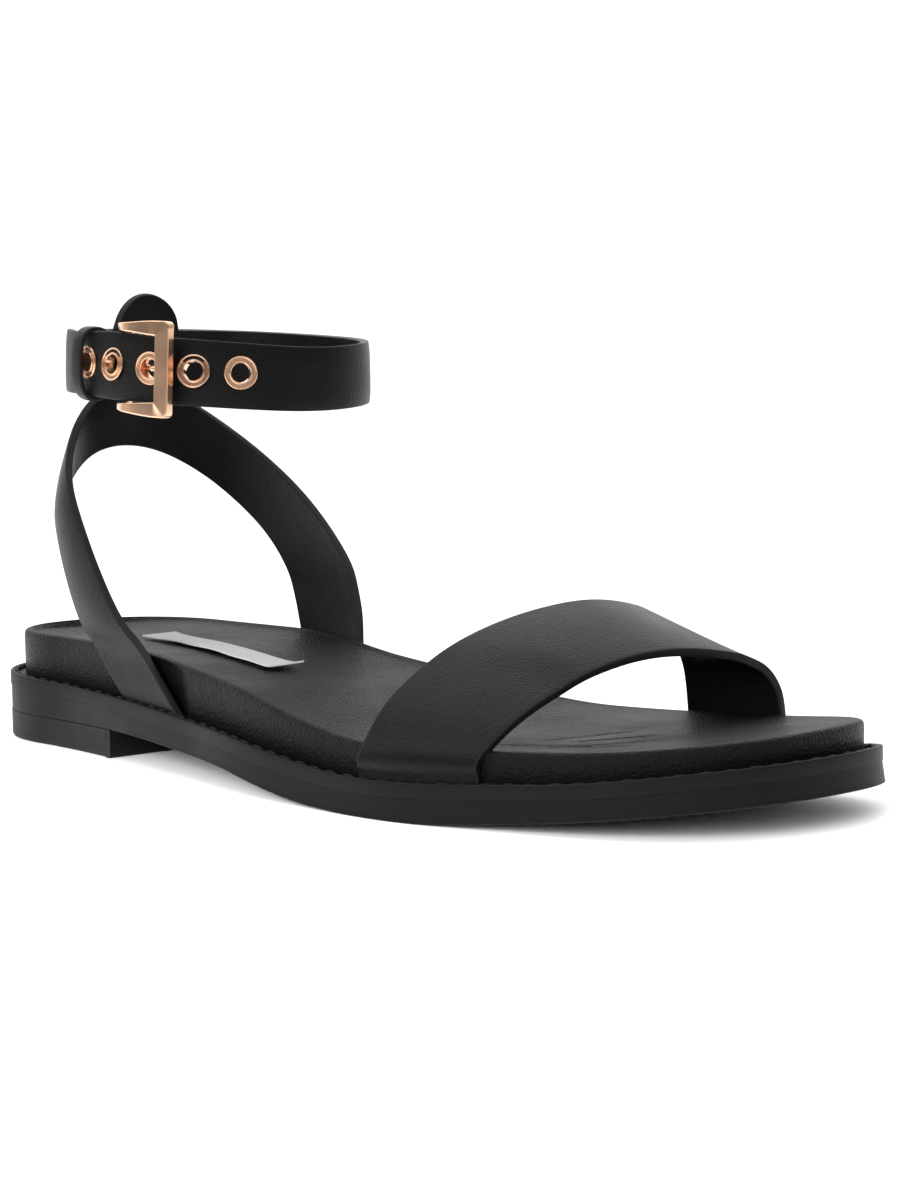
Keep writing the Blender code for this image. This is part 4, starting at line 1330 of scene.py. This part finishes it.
def leather_material(name, colour):
    """Black leather with grain, cloudy sheen and slightly uneven colour."""
    pebbles, pores, relief, roughness, upright = LEATHERS[name]
    material, tree, shader = new_material(name)
    grain = place_group(tree, "Leather grain", grain_group, {
        "Pebbles per metre": pebbles, "Pore share": pores, "Upright share": upright})
    rub = place_group(tree, "Rubbed patches", rub_group, {"Patches per metre": SHEEN_PATCHES})
    feed(tree, shader, {
        "Base Color": tinted(tree, grain["Cloud"], colour, *LEATHER_SHADES),
        "Roughness": spread(tree, rub["Patch"], *roughness, *PATTERN_RANGE),
        "Normal": bumped(tree, grain["Height"], relief),
        "IOR": LEATHER_IOR,
    })
    return material


def rubbed_material(name, colour):
    """Finish with uneven gloss and a fine bump, for rubber, thread, edge paint and metal."""
    patches, relief, roughness, metallic = RUBBED_FINISHES[name]
    material, tree, shader = new_material(name)
    rub = place_group(tree, "Rubbed patches", rub_group, {"Patches per metre": patches})
    feed(tree, shader, {
        "Base Color": tinted(tree, rub["Patch"], colour, *RUBBED_SHADES),
        "Roughness": spread(tree, rub["Patch"], *roughness, *PATTERN_RANGE),
        "Normal": bumped(tree, rub["Speck"], relief),
        "IOR": RUBBED_IOR,
        "Metallic": metallic,
    })
    return material


def weave_material(name, colour):
    """White satin weave of the label."""
    material, tree, shader = new_material(name)
    place = add_node(tree, "ShaderNodeTexCoord").outputs["Object"]
    turn = add_node(tree, "ShaderNodeMapping", {"Vector": place, "Rotation": (0.0, 0.0, -LABEL_TURN)})
    threads = []
    for direction, scale in LABEL_THREADS:
        values = {"Vector": turn.outputs["Vector"], "Scale": scale, "Distortion": 0.6}
        threads.append(add_node(tree, "ShaderNodeTexWave", values, bands_direction=direction).outputs["Fac"])
    height = calculate(tree, "MAXIMUM", *threads)
    feed(tree, shader, {
        "Base Color": tinted(tree, height, colour, *LABEL_SHADES),
        "Normal": bumped(tree, height, LABEL_RELIEF),
        "Roughness": LABEL_ROUGHNESS,
    })
    return material


def material_of(name, maker, setting):
    """Material in its set colour, made on its first use."""
    colour = tuple(getattr(bpy.context.scene.sandal_colours, setting))
    return bpy.data.materials.get(name) or maker(name, colour)


def strap_materials():
    """Leather on a strap's faces and paint on its cut edges."""
    leather = material_of("strap leather", leather_material, "leather")
    return [leather, material_of("edge paint", rubbed_material, "edge")]


def size_of(setting):
    """One of the set sizes in millimetres."""
    return getattr(bpy.context.scene.sandal_sizes, setting) / MM


class SANDAL_OT_sole(bpy.types.Operator):
    """Makes the outsole, the heel block and the welt"""

    bl_idname = "sandal.sole"
    bl_label = "Sole"

    def execute(self, context):
        rubber = material_of("sole rubber", rubbed_material, "rubber")
        for name, mesh, node in (
            ("outsole_rubber", outsole_mesh(), "outsole"),
            ("heel_rubber", heel_mesh(), "heel_block"),
            ("welt_rubber", welt_mesh(), "welt"),
        ):
            add_piece(name, mesh, [rubber], [node])
        return {"FINISHED"}


class SANDAL_OT_stitches(bpy.types.Operator):
    """Sews the welt"""

    bl_idname = "sandal.stitches"
    bl_label = "Welt stitches"

    def execute(self, context):
        mesh = stitch_mesh(size_of("stitch"), size_of("thread"))
        thread = material_of("waxed thread", rubbed_material, "thread")
        add_piece("welt_thread", mesh, [thread], [])
        return {"FINISHED"}


class SANDAL_OT_footbed(bpy.types.Operator):
    """Makes the padded, leather-wrapped footbed"""

    bl_idname = "sandal.footbed"
    bl_label = "Footbed"

    def execute(self, context):
        leather = material_of("footbed leather", leather_material, "leather")
        footbed = add_piece("footbed_leather", footbed_mesh(), [leather], ["footbed"])
        return {"FINISHED"}


class SANDAL_OT_label(bpy.types.Operator):
    """Lays the woven label on the footbed"""

    bl_idname = "sandal.label"
    bl_label = "Label"

    def execute(self, context):
        thickness = size_of("label")
        mesh = strap_solid("label_weave", label_grid(thickness), thickness, thickness * LABEL_EDGE)
        weave = material_of("label weave", weave_material, "label")
        add_piece("label_weave", mesh, [weave, weave], ["label"])
        return {"FINISHED"}


class SANDAL_OT_toe_band(bpy.types.Operator):
    """Makes the wide band over the forefoot"""

    bl_idname = "sandal.toe_band"
    bl_label = "Toe band"

    def execute(self, context):
        mesh = strap_solid("toe_band_leather", toe_band_grid(), size_of("strap"), size_of("edge"))
        add_piece("toe_band_leather", mesh, strap_materials(), ["toe_band"])
        return {"FINISHED"}


class SANDAL_OT_heel_strap(bpy.types.Operator):
    """Makes the heel strap with its back tab"""

    bl_idname = "sandal.heel_strap"
    bl_label = "Heel strap"

    def execute(self, context):
        mesh = strap_solid("heel_strap_leather", heel_strap_grid(), size_of("strap"), size_of("edge"))
        add_piece("heel_strap_leather", mesh, strap_materials(), ["heel_ankle_strap"])
        return {"FINISHED"}


class SANDAL_OT_ankle_strap(bpy.types.Operator):
    """Makes the ankle strap with its punched tail, and the keeper round it"""

    bl_idname = "sandal.ankle_strap"
    bl_label = "Ankle strap"

    def execute(self, context):
        thickness, edge, wall = size_of("strap"), size_of("edge"), size_of("keeper")
        uncut = strap_solid("ankle_strap", ankle_strap_grid(), thickness, edge)
        strap = punched(uncut, thickness)
        add_piece("ankle_strap_leather", strap, strap_materials(), ["heel_ankle_strap"])
        keeper = strap_solid("keeper_leather", keeper_grid(wall), wall, edge * KEEPER_EDGE, closed=True)
        add_piece("keeper_leather", keeper, strap_materials(), ["keeper"])
        return {"FINISHED"}


class SANDAL_OT_buckle(bpy.types.Operator):
    """Makes the buckle's frame and prong"""

    bl_idname = "sandal.buckle"
    bl_label = "Buckle"

    def execute(self, context):
        metal = material_of("rose gold", rubbed_material, "metal")
        add_piece("buckle_metal", buckle_mesh(), [metal], ["buckle_frame"])
        add_piece("prong_metal", prong_mesh(), [metal], ["buckle_prong"])
        return {"FINISHED"}


class SANDAL_OT_eyelets(bpy.types.Operator):
    """Sets the eyelets in the ankle strap's tail"""

    bl_idname = "sandal.eyelets"
    bl_label = "Eyelets"

    def execute(self, context):
        metal = material_of("rose gold", rubbed_material, "metal")
        for number, row in enumerate(EYELETS, 1):
            name = f"eyelet_metal_{number}"
            add_piece(name, eyelet_mesh(name, *row), [metal], [f"eyelet_{number}"])
        return {"FINISHED"}


def add_floor(colour, painted_shade):
    """Pale floor; in reflections only, painted shade darkens its colour towards the camera."""
    shape = bmesh.new()
    bmesh.ops.create_grid(shape, x_segments=2, y_segments=2, size=FLOOR_HALF)
    mesh = bpy.data.meshes.new("floor")
    shape.to_mesh(mesh)
    shape.free()
    material, tree, shader = new_material("pale floor")
    place = add_node(tree, "ShaderNodeTexCoord").outputs["Object"]
    near = along_axis(tree, place, (math.sin(CAMERA_AZIMUTH), -math.cos(CAMERA_AZIMUTH), 0.0))
    shine = add_node(tree, "ShaderNodeLightPath").outputs["Is Glossy Ray"]
    # Painted shade: glossy rays see the floor's colour darkened towards the camera
    dim = calculate(tree, "MULTIPLY", shine, spread(tree, near, 0.0, painted_shade, *FLOOR_PAINTED_SHADE))
    feed(tree, shader, {"Base Color": tinted(tree, dim, colour, 1.0, 0.0), "Roughness": FLOOR_ROUGHNESS})
    mesh.materials.append(material)
    add_object("floor", mesh)


def add_surround(bright, overhead, dark):
    """Studio surround: white for the eye and matt surfaces; what shines sees it dim behind the camera."""
    world = bpy.data.worlds.new("studio")
    world.use_nodes = True
    tree = world.node_tree
    place = add_node(tree, "ShaderNodeTexCoord").outputs["Generated"]
    away = along_axis(tree, place, (-math.sin(CAMERA_AZIMUTH), math.cos(CAMERA_AZIMUTH), BACKDROP_RISE))
    level = spread(tree, away, dark, bright, *BACKDROP_RANGE)
    ceiling = spread(tree, along_axis(tree, place, (0.0, 0.0, 1.0)), 0.0, overhead, *CEILING_RANGE)
    path = add_node(tree, "ShaderNodeLightPath").outputs
    plain = calculate(tree, "MAXIMUM", path["Is Camera Ray"], path["Is Diffuse Ray"])
    seen = calculate(tree, "MULTIPLY", plain, bright)
    lit = calculate(tree, "MAXIMUM", calculate(tree, "ADD", level, ceiling), seen)
    feed(tree, tree.nodes["Background"], {"Strength": lit, "Color": (1.0, 1.0, 1.0, 1.0)})
    bpy.context.scene.world = world


def add_softbox(name, place, aim, size, power, shines):
    """Rectangular area light turned to its aim."""
    data = bpy.data.lights.new(name, "AREA")
    data.shape = "RECTANGLE"
    data.size, data.size_y = size
    data.energy = power
    light = add_object(name, data)
    light.location = place
    light.visible_glossy = shines
    light.rotation_euler = (Vector(aim) - Vector(place)).to_track_quat("-Z", "Y").to_euler()


def add_camera(lens):
    """Camera at the photograph's place and angle."""
    level, fall = math.cos(CAMERA_ELEVATION), math.sin(CAMERA_ELEVATION)
    right = Vector((math.cos(CAMERA_AZIMUTH), math.sin(CAMERA_AZIMUTH), 0.0))
    forward = Vector((-right.y * level, right.x * level, -fall))
    up = right.cross(forward)
    turn = Matrix.Rotation(CAMERA_ROLL, 3, -forward)
    data = bpy.data.cameras.new("camera")
    data.lens = lens
    data.sensor_width = 36.0
    data.clip_start = 0.01
    camera = add_object("camera", data)
    axes = Matrix((turn @ right, turn @ up, -forward)).transposed().to_4x4()
    axes.translation = (Vector(CAMERA_PLACE) + HEEL_END) * MM
    camera.matrix_world = axes
    bpy.context.scene.camera = camera


class SANDAL_OT_stage(bpy.types.Operator):
    """Sets the floor, the lights and the camera"""

    bl_idname = "sandal.stage"
    bl_label = "Stage"

    def execute(self, context):
        stage = context.scene.sandal_stage
        add_floor(tuple(stage.floor), stage.dim)
        add_surround(stage.backdrop, stage.zenith, stage.shade)
        for name, place, aim, size, setting, shines in SOFTBOXES:
            add_softbox(name, place, aim, size, getattr(stage, setting), shines)
        add_camera(stage.lens)
        context.scene.view_settings.view_transform = "Standard"
        return {"FINISHED"}


class SANDAL_PT_panel(bpy.types.Panel):
    """Lists the sandal's sizes, colours and pieces"""

    bl_idname = "SANDAL_PT_panel"
    bl_label = "Flat sandal"
    bl_space_type = "VIEW_3D"
    bl_region_type = "UI"
    bl_category = "Sandal"

    def draw(self, context):
        layout = self.layout
        for group in (context.scene.sandal_sizes, context.scene.sandal_colours, context.scene.sandal_stage):
            column = layout.column(align=True)
            for name in group.__annotations__:
                column.prop(group, name)
        for operator in OPERATORS:
            layout.operator(operator.bl_idname)


OPERATORS = (
    SANDAL_OT_sole, SANDAL_OT_stitches, SANDAL_OT_footbed, SANDAL_OT_label, SANDAL_OT_toe_band,
    SANDAL_OT_heel_strap, SANDAL_OT_ankle_strap, SANDAL_OT_buckle, SANDAL_OT_eyelets, SANDAL_OT_stage,
)
CLASSES = (SandalSizes, SandalColours, SandalStage, *OPERATORS, SANDAL_PT_panel)
SETTINGS = {"sandal_sizes": SandalSizes, "sandal_colours": SandalColours, "sandal_stage": SandalStage}


def register():
    for kind in CLASSES:
        bpy.utils.register_class(kind)
    for name, kind in SETTINGS.items():
        setattr(bpy.types.Scene, name, PointerProperty(type=kind))


def unregister():
    for name in SETTINGS:
        delattr(bpy.types.Scene, name)
    for kind in reversed(CLASSES):
        bpy.utils.unregister_class(kind)


def main():
    register()
    bpy.ops.sandal.stage()
    bpy.ops.sandal.sole()
    bpy.ops.sandal.stitches()
    bpy.ops.sandal.footbed()
    bpy.ops.sandal.label()
    bpy.ops.sandal.toe_band()
    bpy.ops.sandal.heel_strap()
    bpy.ops.sandal.ankle_strap()
    bpy.ops.sandal.buckle()
    bpy.ops.sandal.eyelets()


if __name__ == "__main__":
    main()
